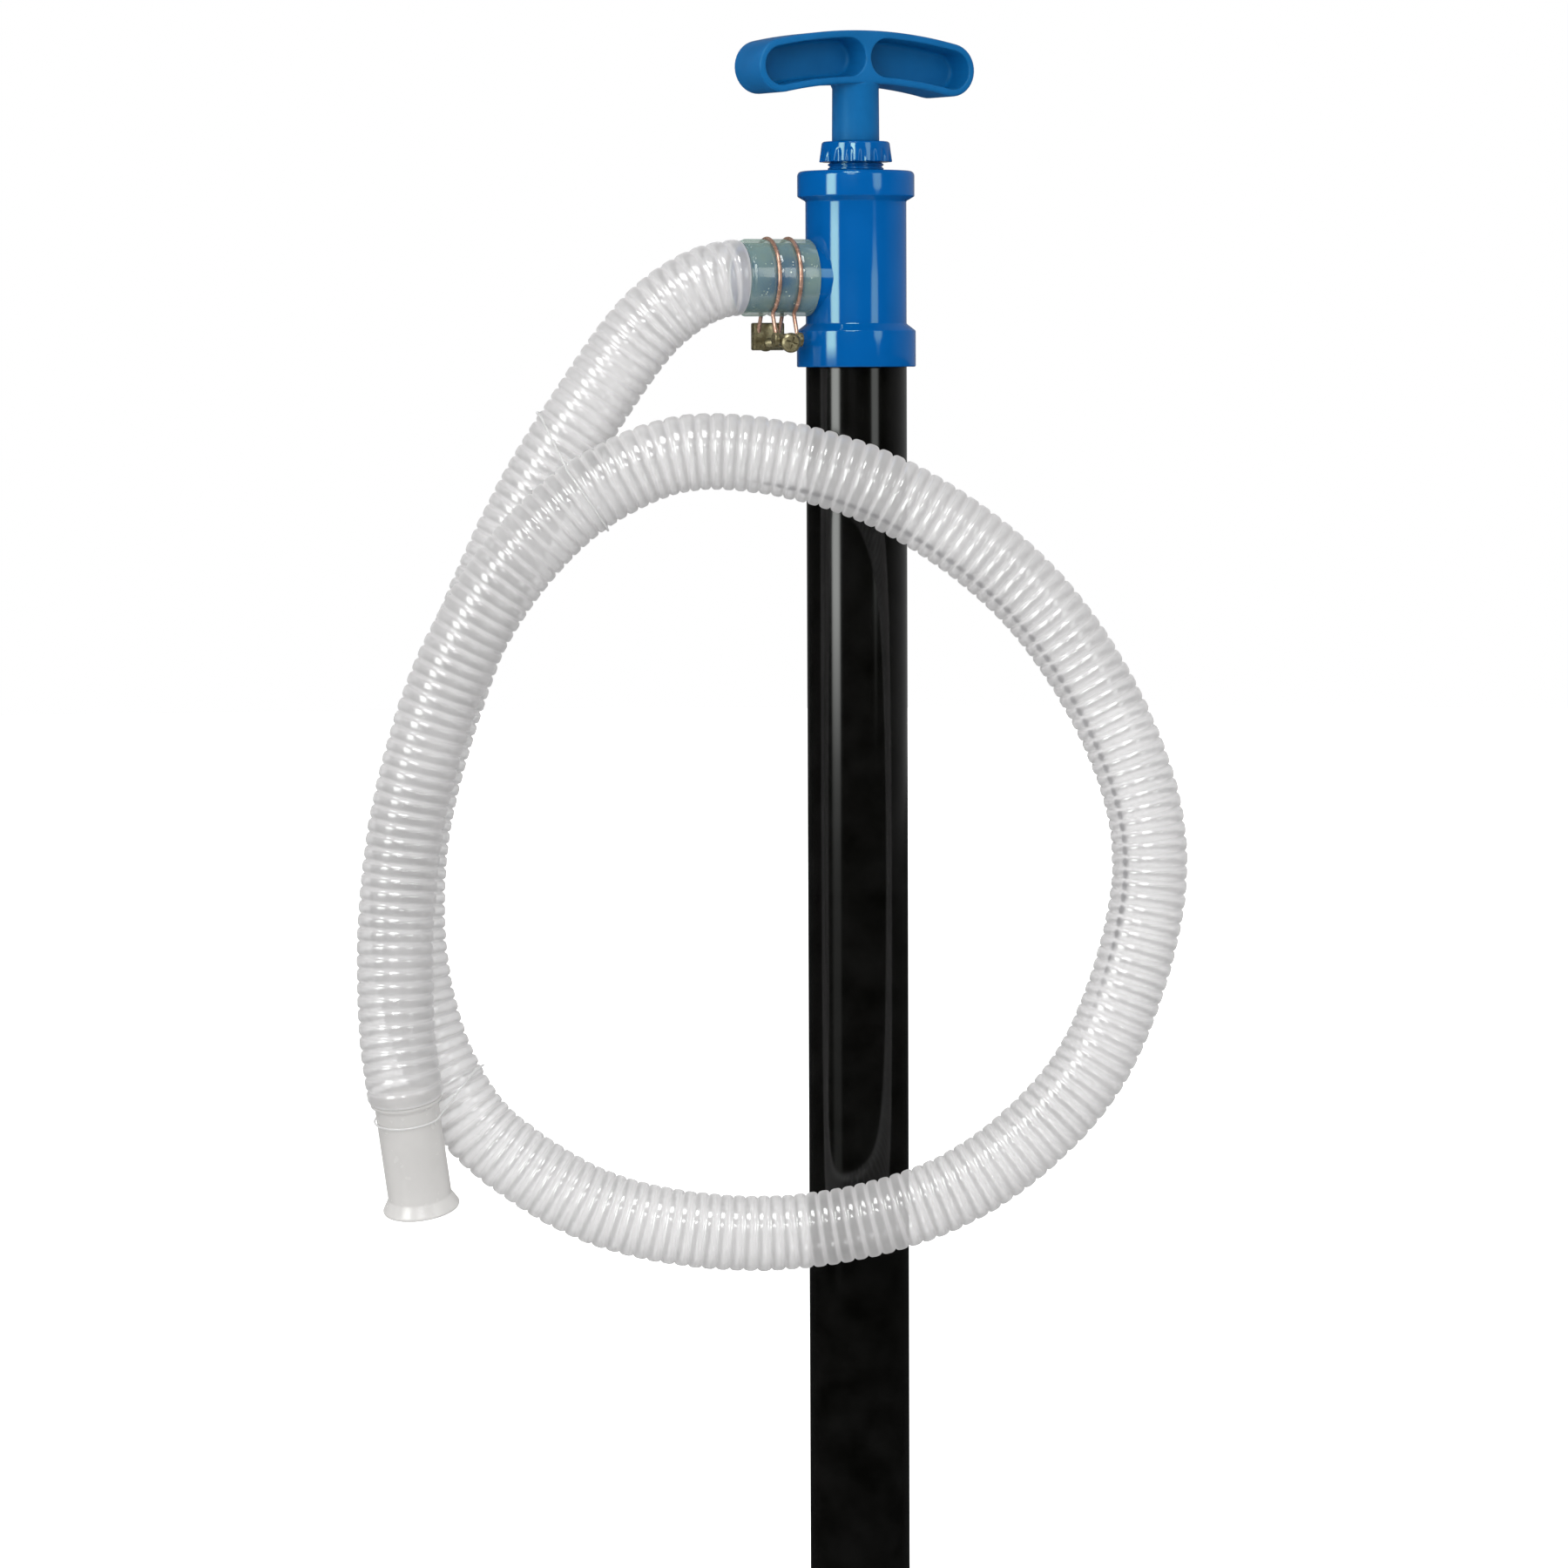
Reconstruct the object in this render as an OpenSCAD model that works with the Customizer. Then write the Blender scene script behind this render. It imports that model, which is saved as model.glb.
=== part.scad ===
// Hand-operated lift pump: a piston on a rod draws water up a straight barrel and
// sends it out of a side outlet into a coiled corrugated hose.
// The origin is the centre of the foot's resting face, +Z runs up the barrel and
// the side outlet points along -X.

/* [Barrel] */
// Outside diameter of the barrel tube
tube_od = 50; // [49:0.5:51]
// Wall thickness of the barrel tube
tube_wall = 2.4; // [2:0.1:2.8]
// Height of the pump head's lower edge above the foot
head_z = 750; // [700:10:1000]

/* [Head] */
// Outside diameter of the lower collar that holds the tube
collar_od = 59; // [57:0.5:60]
// Outside diameter of the head's top rim
rim_od = 58; // [57.5:0.5:60]
// Outside diameter of the side outlet spigot
spigot_od = 34; // [32:0.5:34]
// Distance from the barrel axis to the end of the spigot
spigot_reach = 60; // [58:1:60]

/* [Handle] */
// Length of the handle bar from end to end
handle_length = 126; // [115:0.5:135]
// Height of the handle bar
handle_width = 26; // [25:0.5:28]
// Depth of the handle bar from front to back
handle_depth = 25; // [25:0.5:28]
// Radius of the handle bar's bow
handle_bow = 240; // [200:10:400]
// Angle of the handle bar about the barrel axis at rest
handle_turn = 12; // [-90:1:90]
// Outside diameter of the handle's stem
stem_od = 23.5; // [22:0.5:24.5]
// Outside diameter of the piston rod
rod_od = 16; // [15:0.5:16]

/* [Hose] */
// Outside diameter over the hose's ribs
hose_od = 37.4; // [36:0.2:37.4]
// Wall thickness that gives the hose its real mass
hose_wall = 1.2; // [1:0.1:1.5]
// Outside diameter of the smooth cuff at the free end
end_cuff_od = 31.3; // [30:0.1:32]
// Bore of the smooth cuff at the free end
end_cuff_bore = 28; // [26:0.5:28]
// Length of the smooth cuff at the free end
end_cuff_length = 58; // [50:1:60]
// Angle of the coil's plane about the barrel axis
coil_turn = -20; // [-22:1:-18]

/* [Clamp] */
// Diameter of the clamp's wires
clamp_wire_d = 2; // [1.8:0.1:2.2]
// Distance between the clamp's two wires
clamp_pitch = 11; // [10:0.5:12]

/* [Hidden] */

BLUE = "#005ea8";
HANDLE_BLUE = "#136bb0";
MILKY = "#e2e1df";

$fn = 96;
glue = 0.05;            // gap that solvent cement fills
run = 0.05;             // radial clearance of a sliding fit
squeeze = 0.02;         // how far a seal stands off the faces it is squeezed between
o_ring_r = 1.2;         // section radius of the static seals
seal_gap = 0.1;         // room each side of a static seal in its groove

tube_r = tube_od / 2;
bore_r = tube_r - tube_wall;
tube_end_r = tube_r - 0.5;      // turned down where the head's collar holds it
foot_r = tube_r - 0.4;
rod_r = rod_od / 2;
rod_wall = 2;

// Foot, from the resting face upwards
strainer_wall = 3;
strainer_top = 36;
tube_bottom = strainer_top + 4;
foot_seal_z = 50;
seat_top = 60;
seat_port_r = 14;
foot_disc_t = 3;
foot_lift = 5;

// Piston in its lowest place, from its nut upwards
nut_bottom = 76;
washer_bottom = 84;
hub_bottom = 86 + glue;
hub_top = 98;
cup_core_r = bore_r - 4.6;
cup_z = hub_bottom + 2.4;
cup_top = hub_top - 3;
valve_disc_t = 2;
piston_lift = 3;
boss_top = hub_top + valve_disc_t + piston_lift + glue;
stop_bottom = boss_top + glue;
stop_t = 2;
rod_bottom = stop_bottom + stop_t + 2;
stud_r = 5;
valve_boss_r = 9;

// Head, from the lower collar upwards
collar_top = head_z + 17.8;
collar_slope_top = head_z + 21.3;
shoulder_z = head_z + 18;
outlet_z = head_z + 44;
rim_slope_bottom = head_z + 81.7;
rim_z = head_z + 84;
cap_z = head_z + 88;
head_top = head_z + 96.5;
body_r = tube_r;
chamber_r = bore_r - 1.6;
cap_r = rim_od / 2 - 3;
cap_spigot_z = cap_z - 12;
cap_seal_z = cap_z - 6;
seal_pocket_r = rod_r + 2.4;
guide_flange_r = seal_pocket_r + 2;
guide_flange_t = 2;
rod_seal_r = (seal_pocket_r - rod_r) / 2 - squeeze;
seal_bottom = head_z + 93.8;
seal_top = seal_bottom + 2 * rod_seal_r;
neck_r = 13.85;
neck_top = head_z + 105.5;
gland_bottom = head_z + 101;
gland_top = gland_bottom + 10;
gland_web_z = gland_top - 2.4;
gland_travel = 1;       // how far the nut can press its bush down
gland_slack = 0.14;     // what is left between the bush and the seal then
stem_bottom = gland_top + 0.2;
rod_top = stem_bottom + 23;
handle_z = head_z + 152.1;

// Clamp, about the spigot's axis
cuff_r = 19;
cuff_start = 25.2;
cuff_end = spigot_reach + 1;
clamp_x = -41.5;
clamp_ring_r = cuff_r + 0.2;    // the wires are pressed into the soft cuff by most of their radius
clamp_opening = 25;     // angle each side of straight down where a wire turns out
clamp_leg_end = 34;
clamp_leg_y = clamp_leg_end * sin(clamp_opening);
clamp_screw_z = outlet_z - 32;
screw_r = 2.45;
saddle_r = 3.8;

// A body of revolution about +Z from [radius, height] points
module revolve(points) {
    rotate_extrude() polygon(points);
}

// A round tube between two heights
module tube(r_out, r_in, z0, z1) {
    difference() {
        translate([0, 0, z0]) cylinder(r = r_out, h = z1 - z0);
        translate([0, 0, z0 - 1]) cylinder(r = r_in, h = z1 - z0 + 2);
    }
}

// A groove for a static seal, cut into a wall of radius r_wall
module seal_groove(r_wall, r_floor, z) {
    tube(r_wall + 1, r_floor, z - o_ring_r - seal_gap, z + o_ring_r + seal_gap);
}

// An O-ring about +Z
module o_ring(r_mid, r_section, z) {
    translate([0, 0, z]) rotate_extrude() translate([r_mid, 0]) circle(r = r_section);
}

// A straight round wire between two points
module wire(p, q, r) {
    v = q - p;
    translate(p)
        rotate([0, acos(v[2] / norm(v)), atan2(v[1], v[0])])
            cylinder(r = r, h = norm(v), $fn = 24);
}

function unit(v) = v / norm(v);

// ---------- Handle ----------

// Half the angle between the centres of the bar's two rounded ends
bar_half_angle = asin((handle_length - handle_width) / 2 / handle_bow);

function on_bow(r, a) = [r * sin(a), r * cos(a) - handle_bow];

// Outline of a bowed slot, rounded at both ends, from angle a0 up to angle a1
function slot_outline(width, a0, a1) =
    let (half = width / 2, steps = 12, turn = 15)
    concat(
        [for (i = [0 : steps]) on_bow(handle_bow + half, a0 + (a1 - a0) * i / steps)],
        [for (t = [turn : turn : 180 - turn])
            on_bow(handle_bow, a1) + half * [sin(a1 + t), cos(a1 + t)]],
        [for (i = [0 : steps]) on_bow(handle_bow - half, a1 + (a0 - a1) * i / steps)],
        [for (t = [turn : turn : 180 - turn])
            on_bow(handle_bow, a0) - half * [sin(a0 + t), cos(a0 + t)]]
    );

// The two pockets of one face, cut to a depth
module handle_pockets(depth) {
    rim = 3.5;
    centre_web = 3;
    pocket_w = handle_width - 2 * rim;
    inner_angle = asin((centre_web + pocket_w) / 2 / handle_bow);
    linear_extrude(depth) polygon(slot_outline(pocket_w, -bar_half_angle, -inner_angle));
    linear_extrude(depth) polygon(slot_outline(pocket_w, inner_angle, bar_half_angle));
}

module handle() {
    front_depth = 16;
    rear_depth = 7;
    stem_top = handle_z - handle_width / 2 + 2;
    color(HANDLE_BLUE) difference() {
        union() {
            translate([0, 0, handle_z])
                rotate([0, 0, handle_turn])
                    rotate([90, 0, 0])
                        translate([0, 0, -handle_depth / 2])
                            difference() {
                                linear_extrude(handle_depth)
                                    polygon(slot_outline(handle_width, -bar_half_angle, bar_half_angle));
                                translate([0, 0, handle_depth - front_depth])
                                    handle_pockets(front_depth + 1);
                                translate([0, 0, -1]) handle_pockets(rear_depth + 1);
                            }
            translate([0, 0, stem_bottom]) cylinder(d = stem_od, h = stem_top - stem_bottom);
        }
        translate([0, 0, stem_bottom - 1])
            cylinder(r = rod_r + glue, h = rod_top + glue - stem_bottom + 1);
    }
}

// ---------- Rod and gland ----------

module piston_rod() {
    color("#c9ccce") tube(rod_r, rod_r - rod_wall, rod_bottom, rod_top);
}

module rod_end_plug() {
    stud_bottom = nut_bottom - 1.5;
    flange_z = stop_bottom + stop_t;
    plug_h = 20;
    color("#b9bcbf") {
        translate([0, 0, stud_bottom]) cylinder(r = stud_r, h = flange_z - stud_bottom);
        translate([0, 0, flange_z]) cylinder(r = rod_r, h = rod_bottom - flange_z);
        translate([0, 0, rod_bottom]) cylinder(r = rod_r - rod_wall - glue, h = plug_h);
    }
}

module gland_nut() {
    top_r = 16.8;
    base_r = 18.2;
    edge = 0.8;
    thread_r = neck_r + 0.15;
    hole_r = rod_r + 0.6;
    flutes = 18;
    flute_r = 1.7;
    flute_h = 7.4;
    color(BLUE) difference() {
        revolve([
            [thread_r, gland_bottom],
            [base_r, gland_bottom],
            [top_r, gland_top - edge],
            [top_r - edge, gland_top],
            [hole_r, gland_top],
            [hole_r, gland_web_z],
            [thread_r, gland_web_z]
        ]);
        for (i = [0 : flutes - 1])
            rotate([0, 0, (i + 0.5) * 360 / flutes])
                translate([base_r + 0.6, 0, gland_bottom - 1])
                    cylinder(r = flute_r, h = flute_h + 1, $fn = 32);
    }
}

module gland_follower() {
    foot_z = seal_top + gland_travel + gland_slack;
    flange_z = gland_web_z - guide_flange_t;
    color("#dfe2e4") revolve([
        [rod_r + run, foot_z],
        [seal_pocket_r - run, foot_z],
        [seal_pocket_r - run, flange_z],
        [guide_flange_r, flange_z],
        [guide_flange_r, gland_web_z],
        [rod_r + run, gland_web_z]
    ]);
}

module rod_seal() {
    color("#26282a") o_ring((seal_pocket_r + rod_r) / 2, rod_seal_r, seal_bottom + rod_seal_r);
}

module rod_guide_bush() {
    color("#e9e9e4") revolve([
        [rod_r + run, cap_spigot_z - guide_flange_t],
        [guide_flange_r, cap_spigot_z - guide_flange_t],
        [guide_flange_r, cap_spigot_z],
        [seal_pocket_r - glue, cap_spigot_z],
        [seal_pocket_r - glue, seal_bottom],
        [rod_r + run, seal_bottom]
    ]);
}

// ---------- Head ----------

module top_cap() {
    pitch = 2;
    crests = 4;
    thread_start = head_top + 0.3;
    thread_root = neck_r - 0.9;
    spigot_r = chamber_r - 0.1;
    groove_r = chamber_r - 2 * o_ring_r - glue;
    lead_in = 0.5;
    edge = 0.4;
    color(BLUE) difference() {
        revolve([
            [seal_pocket_r, cap_spigot_z],
            [spigot_r - lead_in, cap_spigot_z],
            [spigot_r, cap_spigot_z + lead_in],
            [spigot_r, cap_z],
            [cap_r - glue, cap_z],
            [cap_r - glue, head_top - edge],
            [cap_r - glue - edge, head_top],
            [thread_root, head_top],
            for (i = [0 : crests - 1])
                each [
                    [thread_root, thread_start + i * pitch],
                    [neck_r, thread_start + (i + 0.3) * pitch],
                    [neck_r, thread_start + (i + 0.55) * pitch],
                    [thread_root, thread_start + (i + 0.85) * pitch]
                ],
            [thread_root, neck_top],
            [seal_pocket_r, neck_top]
        ]);
        seal_groove(spigot_r, groove_r, cap_seal_z);
    }
}

module cap_seal() {
    color("#26282a") o_ring(chamber_r - o_ring_r - squeeze, o_ring_r, cap_seal_z);
}

module pump_head() {
    collar_r = collar_od / 2;
    collar_edge = 0.4;
    rim_r = rim_od / 2;
    rim_edge_r = 2.2;
    spigot_bore_r = spigot_od / 2 - 3.5;
    color(BLUE) difference() {
        union() {
            revolve([
                [0, head_z],
                [collar_r - collar_edge, head_z],
                [collar_r, head_z + collar_edge],
                [collar_r, collar_top],
                [body_r, collar_slope_top],
                [body_r, rim_slope_bottom],
                [rim_r, rim_z],
                for (a = [0 : 15 : 90])
                    [rim_r - rim_edge_r * (1 - cos(a)), head_top - rim_edge_r * (1 - sin(a))],
                [0, head_top]
            ]);
            translate([0, 0, outlet_z]) rotate([0, -90, 0]) cylinder(d = spigot_od, h = spigot_reach);
        }
        translate([0, 0, head_z - 1]) cylinder(r = tube_end_r + glue, h = shoulder_z + glue - head_z + 1);
        translate([0, 0, shoulder_z]) cylinder(r = chamber_r, h = cap_z - shoulder_z + 1);
        translate([0, 0, cap_z]) cylinder(r = cap_r, h = head_top - cap_z + 1);
        translate([0, 0, outlet_z]) rotate([0, -90, 0]) cylinder(r = spigot_bore_r, h = spigot_reach + 1);
    }
}

module barrel_tube() {
    color("#121211") revolve([
        [bore_r, tube_bottom],
        [tube_r, tube_bottom],
        [tube_r, head_z - glue],
        [tube_end_r, head_z - glue],
        [tube_end_r, shoulder_z],
        [bore_r, shoulder_z]
    ]);
}

// ---------- Hose ----------

// Places on the hose's centre line in the coil's plane: along the plane, out from the
// barrel towards the front, and up from the outlet's axis. A smooth curve runs through them.
hose_stations = [
    [-cuff_end * cos(coil_turn), -cuff_end * sin(coil_turn), 0], [-97, 31, -18],
    [-134, 33, -66.5], [-166, 29.5, -119], [-197, 27.5, -189.5], [-218, 27, -258],
    [-223.5, 26.5, -311], [-218.5, 28, -356.5], [-203.5, 31, -397.5], [-177.5, 35, -429.5],
    [-121.5, 41.5, -460.5], [-46, 47.5, -470], [27.5, 49, -456.5], [80.5, 50.5, -425],
    [120, 51.5, -375], [142, 53, -294], [127.5, 55, -224.5], [81, 57, -153],
    [9, 59, -102.5], [-70, 61.5, -84.5], [-123.5, 66, -100.5], [-165.5, 69.5, -137.5],
    [-197.5, 69, -189.5], [-217.5, 68, -250], [-226, 67.5, -308.5], [-226.5, 67.8, -361.5],
    [-222.5, 66, -399.5]
];
spans = len(hose_stations) - 1;

// Directions of the hose at its two ends, in the same axes
hose_start_dir = [-cos(coil_turn), -sin(coil_turn), 0];
hose_end_dir = unit([6.7, -13, -58.3]);

// A point beyond each end sets the direction there
start_reach = norm(hose_stations[1] - hose_stations[0]);
end_reach = norm(hose_stations[spans] - hose_stations[spans - 1]);
hose_knots = concat(
    [hose_stations[1] - 2 * start_reach * hose_start_dir],
    hose_stations,
    [hose_stations[spans - 1] + 2 * end_reach * hose_end_dir]
);

// Catmull-Rom curve through the stations: span number i, place t from 0 to 1
function hose_curve(i, t) =
    let (a = hose_knots[i], b = hose_knots[i + 1], c = hose_knots[i + 2], d = hose_knots[i + 3])
    0.5 * (2 * b + (c - a) * t + (2 * a - 5 * b + 4 * c - d) * t * t
        + (3 * b - 3 * c + d - a) * t * t * t);

// From the coil's axes to the pump's: the plane turns about the barrel
function coil_vector(p) = [
    p[0] * cos(coil_turn) + p[1] * sin(coil_turn),
    p[0] * sin(coil_turn) - p[1] * cos(coil_turn),
    p[2]
];
function coil_point(p) = coil_vector(p) + [0, 0, outlet_z];

function hose_point(s) =
    let (i = min(floor(s), spans - 1))
    coil_point(hose_curve(i, s - i));
function hose_direction(s) =
    s < 0.01 ? coil_vector(hose_start_dir)
    : s > spans - 0.01 ? coil_vector(hose_end_dir)
    : unit(hose_point(s + 0.01) - hose_point(s - 0.01));

hose_front = coil_vector([0, 1, 0]);
hose_end = hose_point(spans);
hose_end_axis = coil_vector(hose_end_dir);

// A ring of points about the centre line, square to it
function hose_ring(s, r, sides) =
    let (
        dir = hose_direction(s),
        across = unit(cross(dir, hose_front)),
        out = cross(across, dir)
    )
    [for (k = [0 : sides - 1])
        hose_point(s) + r * (cos(k * 360 / sides) * across + sin(k * 360 / sides) * out)];

module discharge_hose() {
    sides = 14;
    steps = 3;
    rings = spans * steps;
    layer = (rings + 1) * sides;
    points = [
        for (r = [hose_od / 2, hose_od / 2 - hose_wall])
            for (i = [0 : rings])
                each hose_ring(i / steps, r, sides)
    ];
    function at(wall, i, k) = wall * layer + i * sides + k % sides;
    color(MILKY, 0.7) polyhedron(points, [
        for (i = [0 : rings - 1])
            for (k = [0 : sides - 1])
                each [
                    [at(0, i, k), at(0, i + 1, k), at(0, i + 1, k + 1)],
                    [at(0, i, k), at(0, i + 1, k + 1), at(0, i, k + 1)],
                    [at(1, i, k), at(1, i + 1, k + 1), at(1, i + 1, k)],
                    [at(1, i, k), at(1, i, k + 1), at(1, i + 1, k + 1)]
                ],
        for (k = [0 : sides - 1])
            each [
                [at(0, 0, k), at(0, 0, k + 1), at(1, 0, k + 1)],
                [at(0, 0, k), at(1, 0, k + 1), at(1, 0, k)],
                [at(0, rings, k), at(1, rings, k + 1), at(0, rings, k + 1)],
                [at(0, rings, k), at(1, rings, k), at(1, rings, k + 1)]
            ]
    ]);
}

module hose_inlet_cuff() {
    color("#8fb3c4", 0.8)
        translate([0, 0, outlet_z])
            rotate([0, -90, 0])
                difference() {
                    tube(cuff_r, spigot_od / 2 + glue, cuff_start, cuff_end - glue);
                    for (x = [-clamp_x - clamp_pitch / 2, -clamp_x + clamp_pitch / 2])
                        o_ring(clamp_ring_r, clamp_wire_d / 2 + glue, x);
                }
}

module hose_end_cuff() {
    cuff_out = end_cuff_od / 2;
    cuff_in = end_cuff_bore / 2;
    start = 0.1;
    shoulder_r = hose_od / 2 - 0.8;
    shoulder_t = 2;
    shoulder_slope = 1.5;
    rim_r = 19;
    rim_t = 2.4;
    rim_edge = 0.6;
    flare = 3.6;
    tilt = acos(hose_end_axis[2]);
    heading = atan2(hose_end_axis[1], hose_end_axis[0]);
    color(MILKY, 0.8)
        translate(hose_end)
            rotate([0, tilt, heading])
                revolve([
                    [cuff_in, start],
                    [shoulder_r, start],
                    [shoulder_r, shoulder_t],
                    [cuff_out, shoulder_t + shoulder_slope],
                    [cuff_out, end_cuff_length - rim_t - flare],
                    [rim_r - rim_edge, end_cuff_length - rim_t],
                    [rim_r, end_cuff_length - rim_t / 2],
                    [rim_r - rim_edge, end_cuff_length],
                    [cuff_in, end_cuff_length]
                ]);
}

// ---------- Hose ties ----------

tie_r = 0.5;
tie_joint_r = 0.85;

// Half a loop of strand round one hose, on the side away from the other hose
module tie_half(centre, dir, away, r) {
    side = cross(dir, away);
    multmatrix([
        [away[0], side[0], dir[0], centre[0]],
        [away[1], side[1], dir[1], centre[1]],
        [away[2], side[2], dir[2], centre[2]],
        [0, 0, 0, 1]
    ])
        rotate([0, 0, -90]) rotate_extrude(angle = 180) translate([r, 0]) circle(r = tie_r, $fn = 16);
}

// A closed strand round two hoses that lie side by side
module hose_tie(c1, d1, r1, c2, d2, r2) {
    away1 = unit((c1 - c2) - ((c1 - c2) * d1) * d1);
    away2 = unit((c2 - c1) - ((c2 - c1) * d2) * d2);
    side1 = cross(d1, away1);
    side2 = cross(d2, away2);
    same = side1 * side2 > 0 ? 1 : -1;
    tie_half(c1, d1, away1, r1);
    tie_half(c2, d2, away2, r2);
    for (s = [-1, 1]) {
        p = c1 + s * r1 * side1;
        q = c2 + s * same * r2 * side2;
        wire(p, q, tie_r);
        translate(p) sphere(r = tie_joint_r, $fn = 16);
        translate(q) sphere(r = tie_joint_r, $fn = 16);
    }
}

tie_gap = 1;

module hose_tie_upper() {
    outlet_place = 2.2;
    loop_place = 20.2;
    color("#f2f2f0") hose_tie(
        hose_point(outlet_place), hose_direction(outlet_place), hose_od / 2 + tie_gap,
        hose_point(loop_place), hose_direction(loop_place), hose_od / 2 + tie_gap
    );
}

module hose_tie_lower() {
    back_place = 8;
    along_cuff = 10;
    color("#f2f2f0") hose_tie(
        hose_point(back_place), hose_direction(back_place), hose_od / 2 + tie_gap,
        hose_end + along_cuff * hose_end_axis, hose_end_axis, end_cuff_od / 2 + tie_gap
    );
}

// ---------- Hose clamp ----------

// A place on a clamp wire: angle from straight down, radius, offset along the outlet
function clamp_place(a, r, x) = [x, r * sin(a), outlet_z - r * cos(a)];

module clamp_wire() {
    r = clamp_wire_d / 2;
    corner_r = r + 0.03;
    color("#c58b6a")
        for (x = [clamp_x - clamp_pitch / 2, clamp_x + clamp_pitch / 2]) {
            translate([x, 0, outlet_z])
                rotate([0, 90, 0])
                    rotate([0, 0, clamp_opening])
                        rotate_extrude(angle = 360 - 2 * clamp_opening)
                            translate([clamp_ring_r, 0]) circle(r = r, $fn = 24);
            for (a = [-clamp_opening, clamp_opening]) {
                wire(clamp_place(a, clamp_ring_r, x), clamp_place(a, clamp_leg_end, x), r);
                translate(clamp_place(a, clamp_ring_r, x)) sphere(r = corner_r, $fn = 24);
            }
        }
}

// Holes that the wires' ends sit in, on one side of the clamp
module clamp_leg_holes(side) {
    for (x = [clamp_x - clamp_pitch / 2, clamp_x + clamp_pitch / 2])
        wire(
            clamp_place(side * clamp_opening, clamp_ring_r, x),
            clamp_place(side * clamp_opening, clamp_leg_end + glue, x),
            clamp_wire_d / 2 + glue
        );
}

// Along Y from y0 to y1 at the clamp screw's axis
module on_screw_axis(r, y0, y1) {
    translate([clamp_x, y1, clamp_screw_z]) rotate([90, 0, 0]) cylinder(r = r, h = y1 - y0);
}

module clamp_saddle() {
    bar_length = 15;
    above_screw = 1.5;
    color("#8a7f4e") difference() {
        translate([clamp_x - bar_length / 2, -clamp_leg_y, clamp_screw_z + above_screw])
            rotate([0, 90, 0])
                cylinder(r = saddle_r, h = bar_length);
        clamp_leg_holes(-1);
        on_screw_axis(screw_r + 0.15, -2 * clamp_leg_y, 0);
    }
}

module clamp_nut() {
    block = [16, 5.6, 13.6];
    below_screw = 3.6;
    color("#8a7f4e") difference() {
        translate([clamp_x - block[0] / 2, clamp_leg_y - block[1] / 2, clamp_screw_z - below_screw])
            cube(block);
        clamp_leg_holes(1);
        on_screw_axis(screw_r + glue, 0, 2 * clamp_leg_y);
    }
}

module clamp_screw() {
    head_r = 4.9;
    head_t = 2.8;
    head_y = -clamp_leg_y - saddle_r - 0.1;
    shank_end = 19;
    recess = [6, 3.2, 1.2];
    recess_turn = 20;
    color("#9a8f5c") difference() {
        union() {
            on_screw_axis(head_r, head_y - head_t, head_y);
            on_screw_axis(screw_r, head_y - 0.5, shank_end);
        }
        for (turn = [0, 90])
            translate([clamp_x, head_y - head_t, clamp_screw_z])
                rotate([0, turn + recess_turn, 0])
                    cube(recess, center = true);
    }
}

// ---------- Piston ----------

module piston_head() {
    ports = 6;
    port_r = 2.7;
    port_circle_r = 14.2;
    color("#d8dadb") difference() {
        revolve([
            [stud_r + run, hub_bottom],
            [cup_core_r + 2, hub_bottom],
            [cup_core_r + 2, cup_z],
            [cup_core_r, cup_z],
            [cup_core_r, cup_top],
            [bore_r - 0.3, cup_top],
            [bore_r - 0.3, hub_top],
            [valve_boss_r, hub_top],
            [valve_boss_r, boss_top],
            [stud_r + run, boss_top]
        ]);
        for (i = [0 : ports - 1])
            rotate([0, 0, i * 360 / ports])
                translate([port_circle_r, 0, hub_bottom - 1])
                    cylinder(r = port_r, h = hub_top - hub_bottom + 2, $fn = 32);
    }
}

module piston_cup() {
    core_r = cup_core_r + glue;
    lip_r = bore_r - run;
    lip_t = 1.2;
    base = cup_z + glue;
    base_t = 2.2;
    lead_in = 0.6;
    lip_top = cup_top - glue;
    color("#2b2c2e") revolve([
        [core_r, base],
        [lip_r - lead_in, base],
        [lip_r, base + 1.5],
        [lip_r, lip_top],
        [lip_r - lip_t, lip_top],
        [lip_r - 1.5 * lip_t, base + base_t],
        [core_r, base + base_t]
    ]);
}

module piston_valve_disc() {
    color("#3a3b3d") tube(18.5, valve_boss_r + 0.15, hub_top, hub_top + valve_disc_t);
}

module piston_valve_stop() {
    color("#c4c7ca") tube(14, stud_r, stop_bottom, stop_bottom + stop_t);
}

module piston_washer() {
    color("#c4c7ca") tube(11, stud_r, washer_bottom, hub_bottom - glue);
}

module piston_nut() {
    across_flats = 16;
    nut_h = washer_bottom - nut_bottom;
    color("#b0b3b6") translate([0, 0, nut_bottom]) difference() {
        cylinder(d = across_flats / cos(30), h = nut_h, $fn = 6);
        translate([0, 0, -1]) cylinder(r = stud_r, h = nut_h + 2);
    }
}

// ---------- Foot ----------

module foot_valve_seat() {
    skirt_r = foot_r - strainer_wall - glue;
    skirt_z = strainer_top - 10;
    color("#d8dadb") difference() {
        revolve([
            [seat_port_r, skirt_z],
            [skirt_r, skirt_z],
            [skirt_r, strainer_top],
            [foot_r, strainer_top],
            [foot_r, tube_bottom],
            [bore_r - glue, tube_bottom],
            [bore_r - glue, seat_top],
            [seat_port_r, seat_top]
        ]);
        seal_groove(bore_r, bore_r - 2 * o_ring_r, foot_seal_z);
    }
}

module foot_seal() {
    color("#26282a") o_ring(bore_r - o_ring_r - squeeze, o_ring_r - squeeze, foot_seal_z);
}

module foot_valve_disc() {
    color("#3a3b3d") translate([0, 0, seat_top]) cylinder(r = seat_port_r + 2.5, h = foot_disc_t);
}

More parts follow.
